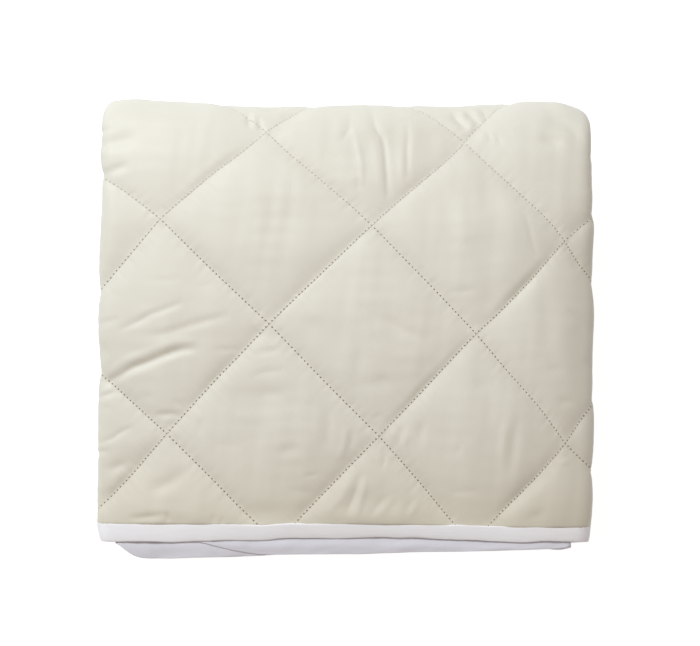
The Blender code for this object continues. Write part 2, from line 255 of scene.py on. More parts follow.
def settle(x, y, z, s):
    """The soft outline: each strip's sides stand in or out by the table, the corners are drawn in,
    and heights shrink by a share that grows with a power of the way to each edge: the second to
    the front, the third to the back and the left, and the sixth to the right."""
    share = np.abs(x) / BUNDLE_HALF
    left, right = (from_table(SIDE_REACH, column, s, SIDE_PARTS) for column in (1, 2))
    x = x + np.sign(x) * np.where(x < 0, left, right) * share
    near_side = smooth(BUNDLE_HALF - CORNER_RUN, BUNDLE_HALF, np.abs(x))
    near_back = smooth(BUNDLE_DEPTH - SOFT_RUN, BUNDLE_DEPTH, y)
    near_front = 1 - smooth(0, SOFT_RUN, y)
    first_fold = smooth(FOLDS[0][1], FOLDS[0][1] + SOFT_RUN, s)
    open_end = smooth(QUILT_LENGTH - 1.5 * SOFT_RUN, QUILT_LENGTH - 0.5 * SOFT_RUN, s)
    drawn = near_back * (1 - open_end) - near_front * first_fold
    out = from_table(BACK_REACH, 1, x, BACK_PARTS) * near_back
    out = out - from_table(FRONT_REACH, 1, x) * near_front
    sideways = np.where(x < 0, SINK_LEFT * share**3, from_table(SINK_RIGHT, 1, y) * share**6)
    behind = np.clip((y - HIGHEST) / (BUNDLE_DEPTH - HIGHEST), 0, 1)
    before = np.maximum((HIGHEST - y) / HIGHEST, 0)
    forward = SINK_FRONT * (SINK_CORNER + (1 - SINK_CORNER) * smooth(*SINK_CORNER_RUN, x))
    z = z * (1 - sideways) * (1 - SINK_BACK * behind**3 - forward * before**2)
    corner = np.where(x < 0, CORNER_LEFT, CORNER_RIGHT)
    y = y + out - corner * near_side * drawn
    return np.stack([x, y + FRONT_SEAM, z], axis=-1)


def place(a, s, h):
    """Where points of the flat panel lie in the bundle."""
    a, s, h = np.broadcast_arrays(np.asarray(a, float), np.asarray(s, float), h)
    x, w = across(a, h)
    y, z = along(s, w)
    return settle(x, y, z, s)


print("front seam's middle lies at", place(0, np.zeros(1), 0).round(4))

# %% [markdown]
# ## The quilting's grid
# The stitch lines make squares that stand on their points. On the loose cloth of the top strip the
# grid is no longer even: the filling and the folds pull it about by a few millimetres. (u, v) is a
# point on the even grid, and `eased` says where it has been pulled to on the panel. The pulls are
# a short table, one row for each crossing of two stitch lines. Each fades evenly to nothing at the
# next crossings, so the lines between them stay straight, as a stitched line under tension does.

# %% The grid and how it is pulled
DIAMOND = 0.195  # point to point
CROSSING = (0.0265, 0.0825)  # where two stitch lines cross
SIDE = DIAMOND / math.sqrt(2)  # of a diamond, between two crossings
EASE_RIGHT = 0.020
EASE_RIGHT_RUN = 0.2215
EASE_SHEAR = 0.0285  # to the left, for each metre behind the middle of the top
EASE_SHEAR_FROM = 0.185
EASE_SKEW = 0.052
EASE_SKEW_RUN = 0.200
EASE_BACK = 0.016
EASE_BACK_START = 0.270
EASE_BACK_END = 0.375
EASE_LAST = 0.480  # past here, inside the bundle, the easing dies out
EASE_GONE = 0.640
FOLD_STRETCH = 2.07  # of the outer face round an end fold, against the strip's middle plane
SEAM_HOLD = 0.060  # how far from the seam the cloth is held against being pulled back
PULLS = (
    # p, q: where two stitch lines cross; how far the crossing is pulled right and back
    (0, -2, 0.000, -0.005),
    (1, -2, 0.003, 0.000),
    (1, -1, -0.001, -0.001),
    (2, -1, -0.006, 0.000),
    (0, -1, 0.001, 0.002),
    (1, 0, -0.004, 0.002),
    (2, 0, -0.001, -0.006),
    (-1, -1, 0.002, -0.001),
    (0, 0, 0.000, 0.001),
    (1, 1, -0.006, -0.002),
    # just past the edges, set by where the lines run off the face
    (-1, -2, 0.010, -0.020),
    (0, -3, -0.010, -0.010),
    (-2, -1, 0.015, 0.000),
    (1, -3, -0.002, -0.002),
    (2, -2, -0.010, -0.018),
    (3, -1, -0.006, 0.006),
    (2, 1, -0.040, 0.000),
    (1, 2, -0.012, 0.000),
    (0, 1, -0.013, 0.000),
    (-1, 0, 0.003, 0.000),
)


def grid_place(u, v):
    """(p, q) on the quilting's grid: whole numbers of p on one set of stitch lines, and of q on
    the other. Each counts diamonds, from the sum and from the difference of u and v."""
    du, dv = u - CROSSING[0], v - CROSSING[1]
    return (du + dv) / DIAMOND, (du - dv) / DIAMOND


def off_grid(p, q):
    """The (u, v) of a place on the quilting's grid, the other way round."""
    return CROSSING[0] + (p + q) * DIAMOND / 2, CROSSING[1] + (p - q) * DIAMOND / 2


FACE_LENGTH = QUILT_LENGTH + (FOLD_STRETCH - 1) * TURN_ARC * len(FOLDS)


def taken_up(s):
    """s along the strip's middle plane, from a length along its outer face. The face is longer
    round each end fold, so there the cloth gains less on the strip, in steady proportion."""
    face, plane = [0.0], [0.0]
    for kind, _, length, _ in SPANS:
        plane.append(plane[-1] + length)
        face.append(face[-1] + length * (1 if kind == "run" else FOLD_STRETCH))
    return np.interp(s, face, plane)


def eased(u, v):
    """(a, s) on the panel: the even grid, less a cubic ease to the right, a shear, a lean that
    grows from the seam and a take-up at the back fold, plus the pulls of the crossings round the
    place, each by how near it is."""
    a = u - EASE_RIGHT * np.clip(u / EASE_RIGHT_RUN, 0, 1) ** 3
    left = 1 - smooth(EASE_LAST, EASE_GONE, v)
    lean = EASE_SKEW * np.clip(a, -MIDDLE_HALF, MIDDLE_HALF) * np.clip(v / EASE_SKEW_RUN, 0, 1)
    s = v - left * (lean + EASE_BACK * smooth(EASE_BACK_START, EASE_BACK_END, v))
    shown = left * (1 - smooth(MIDDLE_HALF + SIDE_ARC, QUILT_HALF, np.abs(u)))
    a = a - shown * EASE_SHEAR * (v - EASE_SHEAR_FROM)
    loose = smooth(0, SEAM_HOLD, v)
    p, q = grid_place(u, v)
    for at_p, at_q, right, back in PULLS:
        pull = shown * np.maximum(1 - np.abs(p - at_p), 0) * np.maximum(1 - np.abs(q - at_q), 0)
        a = a + right * pull
        s = s + back * pull * loose
    return a, taken_up(s)


print(f"a diamond's side is {1000 * SIDE:.1f} mm")

# %% [markdown]
# ## How high the quilted face stands
# Along a stitch line the cloth is drawn down to the backing, and between the lines the wool swells.
# It rises steeply in the first centimetre and then slowly, so each line's share is one less two
# exponentials of the distance from it. Inside the bundle the layers press the quilt flat. Only
# where it is open does it swell: on top, and round the outside of each fold.

# %% Height of the face
STITCH_HEIGHT = 0.0018
CROWN_HEIGHT = 0.0090  # in the middle of a diamond, on top
FOLD_HEIGHT = 0.0080  # the same, round the outside of the other folds
LINE_ROUND = 0.0018  # how round the valley is at a stitch line
LINE_SHIFT = (0.0, 0.0008)  # how far beside the stitches it lies, for each set of lines
NEAR_RUN = 0.0062
FAR_RUN = 0.034
NEAR_SHARE = 0.32
CROWN_TURN = 0.8
CROWN_BACK = 0.28  # how much lower the crown is towards the back fold
CROWN_BACK_RUN = (0.24, 0.36)
SEAM_HEIGHT = 0.0036
SEAM_RUN = 0.026
SEAM_POWER = 0.75
SHOULDER = 0.0030  # how much fuller than a half circle a side fold is, half way to its side


def swell(u, v):
    """0 on a stitch line and near 1 in a diamond's middle: for each set of lines one less a steep
    and a slow exponential of the distance to the nearest, and the two multiplied. The distance
    is eased near the line, so that the valley has a round bottom."""
    risen = 1.0
    for part, shift in zip(grid_place(u, v), LINE_SHIFT):
        part = part + shift / SIDE
        off = np.hypot((part - np.round(part)) * SIDE, LINE_ROUND) - LINE_ROUND
        steep = NEAR_SHARE * np.exp(-off / NEAR_RUN)
        risen = risen * (1 - steep - (1 - NEAR_SHARE) * np.exp(-off / FAR_RUN))
    return risen


def on_top(a, s):
    """1 on the top cloth, easing to 0 round its side folds and its back fold."""
    sides = 1 - smooth(MIDDLE_HALF, MIDDLE_HALF + CROWN_TURN * SIDE_ARC, np.abs(a))
    return sides * (1 - smooth(FOLDS[0][1], FOLDS[0][1] + CROWN_TURN * TURN_ARC, s))


def on_folds(a, s):
    """1 along the outside of each fold and 0 where layers lie on each other: the squared sine of
    the angle turned, for the side folds, and for the end folds on the layer that is outside."""
    turn = np.clip((np.abs(a) - MIDDLE_HALF) / SIDE_RADIUS, 0, math.pi)
    free = np.sin(turn) ** 2
    middle = 1 - smooth(0, SIDE_ARC, np.abs(a) - MIDDLE_HALF)
    for kind, start, _, _ in SPANS:
        if kind == "run":
            continue
        angle = np.clip((s - start) / TURN_RADIUS, 0, math.pi)
        outside = middle if kind == "back" else 1 - middle
        free = np.maximum(free, outside * np.sin(angle) ** 2)
    return free


def edge_share(a, s):
    """How much of its thickness the quilt has: a quarter of a sine wave, from the binding, over a
    power of the way that makes it steepest at the seam."""
    from_edge = np.minimum(QUILT_HALF - np.abs(a), np.minimum(s, QUILT_LENGTH - s))
    return np.sin(math.pi / 2 * np.clip(from_edge / SEAM_RUN, 0, 1) ** SEAM_POWER)


def open_share(a, s):
    """How free the cloth is to swell and crease, on top or round a fold."""
    return np.maximum(on_top(a, s), on_folds(a, s))


def outer_height(a, s, u, v):
    """The quilted face over the middle surface: pressed flat inside the bundle, swollen where it
    is open, and tapering to the binding."""
    top = on_top(a, s)
    free = open_share(a, s)
    crown = CROWN_HEIGHT * (1 - CROWN_BACK * smooth(*CROWN_BACK_RUN, s))
    high = top * crown + (1 - top) * FOLD_HEIGHT
    full = swell(u, v)
    risen = STITCH_HEIGHT + (high - STITCH_HEIGHT) * full
    turn = np.clip((np.abs(a) - MIDDLE_HALF) / SIDE_RADIUS, 0, math.pi / 2)
    risen = risen + SHOULDER * np.sin(2 * turn) ** 2 * full
    height = free * risen + (1 - free) * LAYER / 2
    return SEAM_HEIGHT + (height - SEAM_HEIGHT) * edge_share(a, s)


def inner_height(a, s):
    """The plain face under the middle surface."""
    return -(SEAM_HEIGHT + (LAYER / 2 - SEAM_HEIGHT) * edge_share(a, s))


print("height in a diamond's middle", round(float(swell(CROSSING[0], CROSSING[1] + DIAMOND / 2)), 3))

# %% [markdown]
# ## Creases in the sateen
# Cloth that has lain folded keeps soft creases. Each is a stroke on the panel, with its own place,
# depth and width: a row of rounded dabs along a smooth curve, which thin out at both ends, added
# up. A positive depth is a trough and a negative one is a ridge, and a trough with a ridge beside
# it makes the one-sided crease that stiff cotton takes.

# %% The creases
CREASES = (
    # depth and width in millimetres; then points of the stroke, as (a, s) in millimetres
    # top middle
    (1.45, 2.3, ((22, 374), (26, 364), (34, 354), (36, 338), (37, 320), (38, 299))),
    (-0.55, 4.0, ((15, 370), (25, 354), (29, 330), (31, 307))),
    (-0.80, 2.6, ((7, 363), (11, 344), (14, 330), (14, 312))),
    (0.65, 2.6, ((10, 318), (11, 307))),
    (0.95, 2.4, ((56, 366), (57, 356), (56, 344), (56, 318))),
    (-0.40, 3.0, ((51, 344), (51, 314))),
    (0.70, 2.6, ((2, 372), (4, 366), (-1, 357), (-5, 352))),
    (-0.55, 3.5, ((-8, 368), (-7, 362))),
    (3.20, 2.4, ((-92, 373), (-90, 369), (-88, 365))),
    (1.80, 2.2, ((-84, 371), (-79, 366), (-76, 362))),
    (-2.00, 2.8, ((-84, 372), (-84, 366))),
    (1.80, 3.2, ((-60, 371), (-40, 373))),
    # upper left
    (1.45, 2.2, ((-226, 349), (-226, 357), (-214, 362))),
    (2.20, 6.0, ((-226, 347), (-207, 349), (-192, 352))),
    (1.70, 4.0, ((-226, 322), (-215, 323), (-210, 326), (-199, 328))),
    (-0.50, 4.0, ((-226, 340), (-203, 340))),
    # left
    (0.80, 3.0, ((-226, 182), (-214, 188), (-206, 190))),
    (1.20, 3.0, ((-206, 180), (-196, 184), (-187, 188), (-177, 194), (-168, 197), (-147, 205))),
    (1.10, 4.0, ((-178, 174), (-160, 178), (-141, 184), (-127, 188), (-105, 194))),
    (2.70, 3.8, (
        (-220, 128), (-212, 134), (-205, 138), (-194, 145), (-178, 151),
        (-161, 158), (-149, 162), (-135, 163),
    )),
    (-0.80, 3.5, (
        (-214, 140), (-209, 146), (-196, 154), (-180, 160),
        (-163, 166), (-150, 170), (-137, 170),
    )),
    (0.50, 2.5, ((-120, 162), (-96, 162))),
    (1.30, 2.5, ((-219, 168), (-217, 154))),
    (0.30, 3.0, ((-184, 226), (-164, 225), (-148, 227))),
    (0.25, 2.5, ((-136, 220), (-109, 222))),
    # lower left
    (1.10, 2.5, ((-226, 116), (-213, 122), (-207, 124))),
    (0.65, 3.0, ((-219, 108), (-214, 109))),
    (0.95, 2.2, ((-226, 73), (-214, 80), (-206, 86), (-194, 92))),
    (1.45, 2.5, ((-226, 58), (-226, 65), (-215, 70))),
    (1.30, 4.5, ((-216, 50), (-209, 54), (-201, 58))),
    (0.65, 4.0, ((-226, 26), (-214, 30))),
    (1.30, 3.0, ((-174, 102), (-165, 103), (-152, 103))),
    (0.65, 4.0, ((-158, 114), (-145, 112))),
    (0.55, 3.5, ((-184, 120), (-176, 118))),
    (0.80, 3.0, ((-133, 98), (-132, 84))),
    (0.40, 4.0, ((-121, 76), (-93, 74))),
    (1.80, 7.0, ((-175, 33), (-161, 39), (-147, 49))),
    (1.30, 3.0, ((-194, 6), (-176, 8), (-162, 10))),
    (1.30, 2.2, ((-160, 12), (-159, 3))),
    (0.95, 2.2, ((-119, 10), (-119, 3))),
    (0.65, 2.2, ((-110, 8), (-111, 2))),
    # middle
    (0.95, 5.5, ((17, 194), (33, 190), (50, 181), (65, 171), (79, 170))),
    (0.95, 7.0, ((-31, 190), (-27, 176))),
    (0.70, 6.0, ((12, 169), (13, 138))),
    (0.40, 4.0, ((26, 136), (40, 134))),
    (0.65, 3.0, ((-83, 158), (-71, 160), (-59, 162))),
    (0.70, 3.5, ((-84, 139), (-71, 142), (-55, 143))),
    # right
    (0.55, 2.5, ((160, 288), (164, 274), (168, 259), (173, 246))),
    (0.95, 2.5, ((200, 200), (211, 189), (217, 180), (220, 174))),
    (1.10, 2.5, ((216, 154), (219, 142))),
    (0.40, 3.0, ((92, 214), (116, 216))),
    (0.50, 4.0, ((183, 144), (196, 144))),
    # lower middle
    (-0.80, 3.5, ((0, 91), (-2, 74), (-7, 61))),
    (0.65, 3.0, ((5, 89), (5, 74))),
    (1.30, 3.5, ((13, 50), (10, 36), (5, 22), (0, 10))),
    (-0.80, 4.0, ((3, 48), (0, 36), (-7, 22), (-18, 12))),
    (-0.65, 2.5, ((18, 44), (15, 30), (12, 18), (9, 8))),
    (0.55, 2.5, ((34, 74), (35, 62), (31, 51))),
    (0.50, 5.0, ((23, 33), (40, 37))),
    (-0.55, 3.0, ((44, 27), (38, 20), (28, 7))),
    (0.45, 3.0, ((36, 28), (29, 20), (21, 7))),
    (-0.45, 2.6, ((66, 24), (60, 13), (57, 8))),
    (0.35, 3.0, ((60, 25), (54, 14), (51, 8))),
    (0.50, 1.8, ((-38, 46), (-25, 48))),
    (0.95, 6.0, ((-61, 68), (-43, 74))),
    (0.65, 5.0, ((-75, 123), (-56, 121))),
    (-0.65, 5.0, ((-26, 112), (-26, 74))),
    (0.55, 4.0, ((-16, 110), (-16, 74))),
    (0.80, 6.0, ((5, 132), (47, 130))),
    (0.50, 4.0, ((-54, 34), (-30, 30))),
    (0.40, 1.8, ((23, 99), (32, 102))),
    (-0.65, 2.5, ((42, 89), (42, 80))),
    (0.70, 2.8, ((49, 91), (48, 76))),
    (-0.65, 3.0, ((55, 89), (53, 74))),
    # lower right
    (1.25, 6.0, ((152, 96), (151, 84), (150, 70), (147, 48))),
    (-0.55, 4.0, ((142, 94), (141, 80), (140, 62))),
    (1.10, 5.0, ((69, 99), (66, 76))),
    (0.50, 3.0, ((102, 78), (101, 67))),
    (-0.65, 2.8, ((192, 59), (203, 60))),
    (0.80, 4.0, ((192, 114), (203, 114))),
    (1.10, 5.0, ((167, 10), (181, 14))),
    (0.40, 3.0, ((94, 32), (119, 34))),
    (0.50, 5.0, ((116, 130), (130, 128))),
    # upper right
    (3.20, 2.6, ((97, 373), (105, 368), (112, 364))),
    (2.80, 2.4, ((111, 374), (117, 370), (123, 367))),
    (2.20, 2.4, ((124, 375), (131, 371))),
    (-2.20, 2.6, ((104, 374), (110, 369))),
    (-1.10, 2.2, ((117, 375), (123, 371))),
    (0.65, 2.2, ((130, 362), (133, 352))),
    (0.55, 2.2, ((139, 358), (143, 347))),
    (2.80, 5.0, ((186, 368), (203, 364), (218, 358))),
    (1.50, 4.5, ((180, 354), (198, 347))),
    (1.30, 3.0, ((226, 347), (226, 336))),
    # broad dents
    (2.20, 22.0, ((-86, 120), (-82, 65))),
    (1.20, 13.0, ((-120, 118), (-50, 120))),
    (2.00, 11.0, ((-14, 20), (58, 22))),
    (0.90, 8.0, ((-54, 14), (-90, 12))),
    (-1.20, 12.0, ((-220, 67), (-170, 81))),
    (-1.60, 9.0, ((-219, 26), (-197, 55))),
    (0.80, 12.0, ((-134, 250), (-130, 200))),
    (0.90, 14.0, ((-62, 300), (-58, 240))),
    (0.80, 7.0, ((-90, 176), (-66, 176))),
    (1.20, 16.0, ((-84, 95), (-80, 70))),
    # fuller and slacker stretches beside the stitch lines
    (-0.80, 6.0, ((-165, 290), (-130, 322), (-90, 352))),
    (-0.60, 5.0, ((-176, 272), (-205, 240), (-214, 225))),
    (-0.70, 5.0, ((-64, 188), (-30, 222), (10, 262))),
    (-0.60, 5.0, ((32, 94), (68, 132), (108, 172))),
    (-0.80, 6.0, ((124, 190), (148, 216), (183, 250))),
    (0.60, 5.0, ((194, 62), (162, 30), (137, 10))),
    (1.20, 4.0, ((-70, 362), (-48, 369), (-30, 374))),
    (1.40, 4.5, ((108, 354), (124, 364), (140, 373))),
)
MM = 0.001
DAB_GAP = 0.6  # at most, from dab to dab, in widths of the stroke
DAB_REACH = 3  # past so many widths a dab is nothing


def stroke(points, width):
    """Dabs along a smooth curve through the points, closer together than the stroke is wide, and
    a weight for each, which is a sine of the way along, so that the stroke thins out at its ends."""
    points = np.array(points) * MM
    leg = np.linalg.norm(np.diff(points, axis=0), axis=1)
    way = np.concatenate([[0], np.cumsum(leg)])
    count = 3 + math.ceil(way[-1] / (DAB_GAP * width))
    t = (np.arange(count) + 0.5) / count
    path = np.stack([np.interp(t * way[-1], way, points[:, axis]) for axis in (0, 1)], axis=1)
    padded = np.pad(path, ((1, 1), (0, 0)), mode="edge")
    path = (padded[:-2] + 2 * path + padded[2:]) / 4
    gap = way[-1] / count
    return path, np.sqrt(np.sin(math.pi * t)) * gap / (width * math.sqrt(math.pi))


def creased(a, s):
    """How far the creases lower the face at (a, s): for each stroke its depth times the sum of its
    dabs, and a dab is exp(-(distance / width) squared)."""
    lowered = np.zeros_like(a)
    for depth, width, points in CREASES:
        width = width * MM
        path, weight = stroke(points, width)
        low, high = path.min(axis=0) - DAB_REACH * width, path.max(axis=0) + DAB_REACH * width
        near = (a > low[0]) & (a < high[0]) & (s > low[1]) & (s < high[1])
        away = (a[near][:, None] - path[:, 0]) ** 2 + (s[near][:, None] - path[:, 1]) ** 2
        lowered[near] += depth * MM * (np.exp(-away / width**2) @ weight)
    return lowered


print(len(CREASES), "creases drawn")

# %% [markdown]
# ## Small unevenness
# No two diamonds of wool swell quite alike. Long low waves in all directions give the broad dents,
# and shorter ones, mostly along the cloth's two ways, the hollows and the slight crumple. Next to
# the stitch lines the thread gathers the sateen into tiny puckers that run square to the line and
# die out within a centimetre. Each set of waves has its own seed, so it is the same on every run.

# %% Waves and puckers
def waves(across_first, across_second, count, shortest, longest, seed, woven=0.0):
    """A sum of plane waves of about unit height: each has a wavelength between the two, a random
    heading and a random phase, and longer waves are higher. Woven, from 0 to 1, is how far the
    headings are drawn to the nearest of the cloth's two ways."""
    chance = np.random.default_rng(seed)
    total = np.zeros_like(across_first)
    power = 0.0
    for _ in range(count):
        length = shortest * (longest / shortest) ** chance.random()
        heading, phase = chance.random(2) * 2 * math.pi
        heading += woven * (math.pi / 2 * round(heading / (math.pi / 2)) - heading)
        size = length / longest
        way = across_first * math.cos(heading) + across_second * math.sin(heading)
        total += size * np.sin(2 * math.pi * way / length + phase)
        power += size**2 / 2
    return total / math.sqrt(power)


DENTS = (
    # height, count, shortest, longest, seed, woven: broad dents, hollows and crumple
    (0.00030, 9, 0.060, 0.150, 11, 0.0),
    (0.00040, 14, 0.030, 0.060, 13, 0.7),
    (0.00017, 24, 0.012, 0.030, 12, 0.7),
)
CALM_RUN = 0.004  # from the seam, where there is no room for unevenness
PUCKER = 0.00013
PUCKER_RUN = 0.007
PUCKER_LENGTHS = (0.0065, 0.0105, 0.0170)
PUCKER_DRIFT = 1.5  # how far they drift out of step, as an angle
PUCKER_DRIFT_RUN = 5.3  # over how many of their lengths


def puckers(u, v):
    """Small waves along each stitch line, of three lengths that drift in and out of step, times
    an exponential of the distance from the line. The phase only keeps them all different."""
    p, q = grid_place(u, v)
    total = np.zeros_like(u)
    for way, (part, run) in enumerate(((p, q), (q, p))):
        nearest = np.round(part)
        off = (part - nearest) * SIDE
        wave = np.zeros_like(u)
        for order, length in enumerate(PUCKER_LENGTHS):
            phase = 2.4 * nearest + 1.7 * order + 3.1 * way + 1.3 * np.sign(off)
            slow = 2 * math.pi * run * SIDE / (PUCKER_DRIFT_RUN * length)
            drift = PUCKER_DRIFT * np.sin(slow + phase)
            wave += np.sin(2 * math.pi * run * SIDE / length + phase + drift)
        total += wave * np.exp(-np.abs(off) / PUCKER_RUN)
    return total


def uneven(a, s, u, v):
    """All that the creases, dents, crumple and puckers add to the face's height."""
    dents = sum(height * waves(a, s, *kind) for height, *kind in DENTS)
    inside = smooth(0, CALM_RUN, np.minimum(s, QUILT_LENGTH - s))
    return open_share(a, s) * inside * (dents * swell(u, v) + PUCKER * puckers(u, v) - creased(a, s))


print("waves and puckers ready")

# %% [markdown]
# ## Building a mesh from grids
# A piece's surface is one or more grids of points. `cells` fills a grid with triangles and splits
# each cell along its lower diagonal, so that a stitch line is an edge of the mesh. `zipper` joins
# a fine row of points to a coarse one. That lets the cloth that shows be fine and the cloth inside
# the bundle be coarse, in one closed mesh. `build` puts the arrays into Blender in one go.

# %% From arrays to a mesh
def cells(ids, height):
    """Two triangles for each cell of a grid of point numbers. Rows run along and columns across."""
    a, b, c, d = ids[:-1, :-1], ids[:-1, 1:], ids[1:, 1:], ids[1:, :-1]
    falls = (height[:-1, :-1] + height[1:, 1:] <= height[:-1, 1:] + height[1:, :-1])[..., None]
    one = np.where(falls, np.stack([a, b, c], -1), np.stack([a, b, d], -1))
    two = np.where(falls, np.stack([a, c, d], -1), np.stack([b, c, d], -1))
    return np.concatenate([one.reshape(-1, 3), two.reshape(-1, 3)])


def zipper(fine, coarse, at):
    """Triangles between a fine row of point numbers and a coarse one, whose point i lies across
    from point at[i] of the fine row."""
    step = np.arange(len(fine) - 1)
    anchor = np.searchsorted(at, step, side="right") - 1
    fans = np.stack([fine[:-1], fine[1:], coarse[anchor]], axis=1)
    ties = np.stack([coarse[:-1], fine[at[1:]], coarse[1:]], axis=1)
    return np.concatenate([fans, ties])


def build(name, points, faces, uv=None):
    """A smooth-shaded object at the origin from an array of points and one of faces."""
    mesh = bpy.data.meshes.new(name)
    corners = faces.shape[1]
    mesh.vertices.add(len(points))
    mesh.vertices.foreach_set("co", points.astype(np.float32).ravel())
    mesh.loops.add(faces.size)
    mesh.loops.foreach_set("vertex_index", faces.astype(np.int32).ravel())
    mesh.polygons.add(len(faces))
    mesh.polygons.foreach_set("loop_start", np.arange(0, faces.size, corners, dtype=np.int32))
    if uv is not None:
        layer = mesh.uv_layers.new(name="cloth")
        layer.data.foreach_set("uv", uv[faces.ravel()].astype(np.float32).ravel())
    mesh.update(calc_edges=True)
    mesh.validate()
    mesh.shade_smooth()
    made = bpy.data.objects.new(name, mesh)
    bpy.context.collection.objects.link(made)
    print(name, len(mesh.vertices), "points,", faces.shape[0] * (corners - 2), "triangles")
    return made


# %% [markdown]
# ## The quilted panel
# One closed mesh: the quilted face, the plain back and the narrow edge between them, which the
# binding covers. The lines of the mesh follow the quilting's own grid, so that stitch lines run
# from corner to corner of the cells. The top strip has every line. Further along, inside the
# bundle, the face keeps every fourth, or every second round the side folds, and the plain back,
# which is smooth, keeps half as many as that.

# %% The panel's lines
CELLS = 50  # across half a diamond
CELL = DIAMOND / 2 / CELLS
FINE_END = 0.432  # where the fine rows end, on the grid, past the first back fold

farthest = round(PANEL_LENGTH / CELL)
number = np.arange(-farthest, farthest + 1)
u_line = CROSSING[0] + number * CELL
a_line = eased(u_line, np.full_like(u_line, FACE_LENGTH))[0]
u_ends = (-QUILT_HALF, QUILT_HALF + EASE_RIGHT)
within = np.abs(a_line) < QUILT_HALF - 1.5 * CELL
round_side = np.abs(np.abs(a_line) - MIDDLE_HALF - SIDE_ARC / 2) < SIDE_ARC / 2 + CELL
shows = np.abs(a_line) < MIDDLE_HALF + SIDE_ARC + 2 * CELL

v_line = CROSSING[1] + number * CELL
behind_seam = v_line > 0.6 * CELL
before_end = v_line < FACE_LENGTH - 1.2 * CELL


def lines_kept(values, keep, ends):
    """The lines kept, with the two edges of the panel."""
    return np.concatenate([[ends[0]], values[keep], [ends[1]]])


u_fine = lines_kept(u_line, within & (shows | (number % 8 == 0)), u_ends)
u_coarse = lines_kept(u_line, within & ((number % 4 == 0) | round_side & (number % 2 == 0)), u_ends)
u_inner = lines_kept(u_line, within & ((number % 8 == 0) | round_side & (number % 4 == 0)), u_ends)
v_ends = (0.0, FACE_LENGTH)
v_fine = np.concatenate([[0.0], v_line[behind_seam & (v_line < FINE_END)]])
v_coarse = v_line[(v_line >= FINE_END) & before_end & (number % 4 == 0)]
v_coarse = np.concatenate([v_coarse, [FACE_LENGTH]])
v_inner = lines_kept(v_line, behind_seam & before_end & (number % 8 == 0), v_ends)
print("lines across:", len(u_fine), len(u_coarse), len(u_inner))
print("lines along:", len(v_fine), len(v_coarse), len(v_inner))


# %% The panel's mesh
def panel_face(u_values, v_values, outside):
    """A face of the panel on those lines: its points, its (p, q) as UVs, and its heights."""
    v, u = np.meshgrid(v_values, u_values, indexing="ij")
    a, s = eased(u, v)
    a[:, 0], a[:, -1] = -QUILT_HALF, QUILT_HALF
    if outside:
        height = outer_height(a, s, u, v) + uneven(a, s, u, v)
    else:
        height = inner_height(a, s)
    return place(a, s, height), np.stack(grid_place(u, v), axis=-1), height


def quilted_panel():
    """The three faces and the edge, joined into one closed mesh."""
    faces = [
        panel_face(u_fine, v_fine, True),
        panel_face(u_coarse, v_coarse, True),
        panel_face(u_inner, v_inner, False),
    ]
    ids = []
    used = 0
    for _, _, height in faces:
        ids.append(used + np.arange(height.size).reshape(height.shape))
        used += height.size
    fine, coarse, inner = ids
    left = np.concatenate([fine[:, 0], coarse[:, 0]])
    right = np.concatenate([fine[:, -1], coarse[:, -1]])
    at_rows = np.searchsorted(np.concatenate([v_fine, v_coarse]), v_inner - CELL / 4)
    at_front = np.searchsorted(u_fine, u_inner - CELL / 4)
    at_back = np.searchsorted(u_coarse, u_inner - CELL / 4)
    triangles = [
        cells(fine, faces[0][2]),
        cells(coarse, faces[1][2]),
        cells(inner, faces[2][2])[:, ::-1],
        zipper(fine[-1], coarse[0], np.searchsorted(u_fine, u_coarse - CELL / 4)),
        zipper(fine[0], inner[0], at_front)[:, ::-1],
        zipper(coarse[-1], inner[-1], at_back),
        zipper(left, inner[:, 0], at_rows),
        zipper(right, inner[:, -1], at_rows)[:, ::-1],
    ]
    points = np.concatenate([face[0].reshape(-1, 3) for face in faces])
    uv = np.concatenate([face[1].reshape(-1, 2) for face in faces])
    return build("quilted_panel", points, np.concatenate(triangles), uv)


panel = quilted_panel()

# %% [markdown]
# ## The quilting thread
# The panel is stitched with a cream thread, matched to the sateen. Each stitch shows as a short
# length of thread that dips into a needle hole at both ends. It is a small closed tube with tapered
# ends, made once as a shape over (along, round) and repeated along every line for the whole face
# that shows, all in one array.

# %% The stitches
STITCHES = 34  # along a diamond's side
STITCH = SIDE / STITCHES
THREAD = 0.00034  # the thread's radius
THREAD_STEPS = 5
THREAD_SIDES = 6
STITCH_SHOWS = 0.70  # the share of a stitch's length that shows
STITCH_DIP = 0.0005
SHOWN = 0.05  # stitches are left out where the cloth is less open than this
GRID_SPAN = (-12, 16)  # the stitch lines of either set that can meet the panel
THREAD_TAPER = 0.92  # how much of its section a stitch has lost at its ends
THREAD_RISE = 0.2  # of its radius: how far the thread's middle lies over the cloth


def stitch_middles():
    """(p, q, way) of every stitch: way is 0 along p and 1 along q."""
    first, last = GRID_SPAN
    lines = np.arange(first, last)
    steps = (np.arange(first * STITCHES, last * STITCHES) + 0.5) / STITCHES
    whole, part = (grid.ravel() for grid in np.meshgrid(lines, steps, indexing="ij"))
    p = np.concatenate([part, whole])
    q = np.concatenate([whole, part])
    way = np.repeat([0.0, 1.0], len(part))
    u, v = off_grid(p, q)
    a, s = eased(u, v)
    from_edge = np.minimum(QUILT_HALF - np.abs(a), np.minimum(s, QUILT_LENGTH - s))
    keep = (from_edge > STITCH) & (open_share(a, s) > SHOWN)
    return p[keep], q[keep], way[keep]


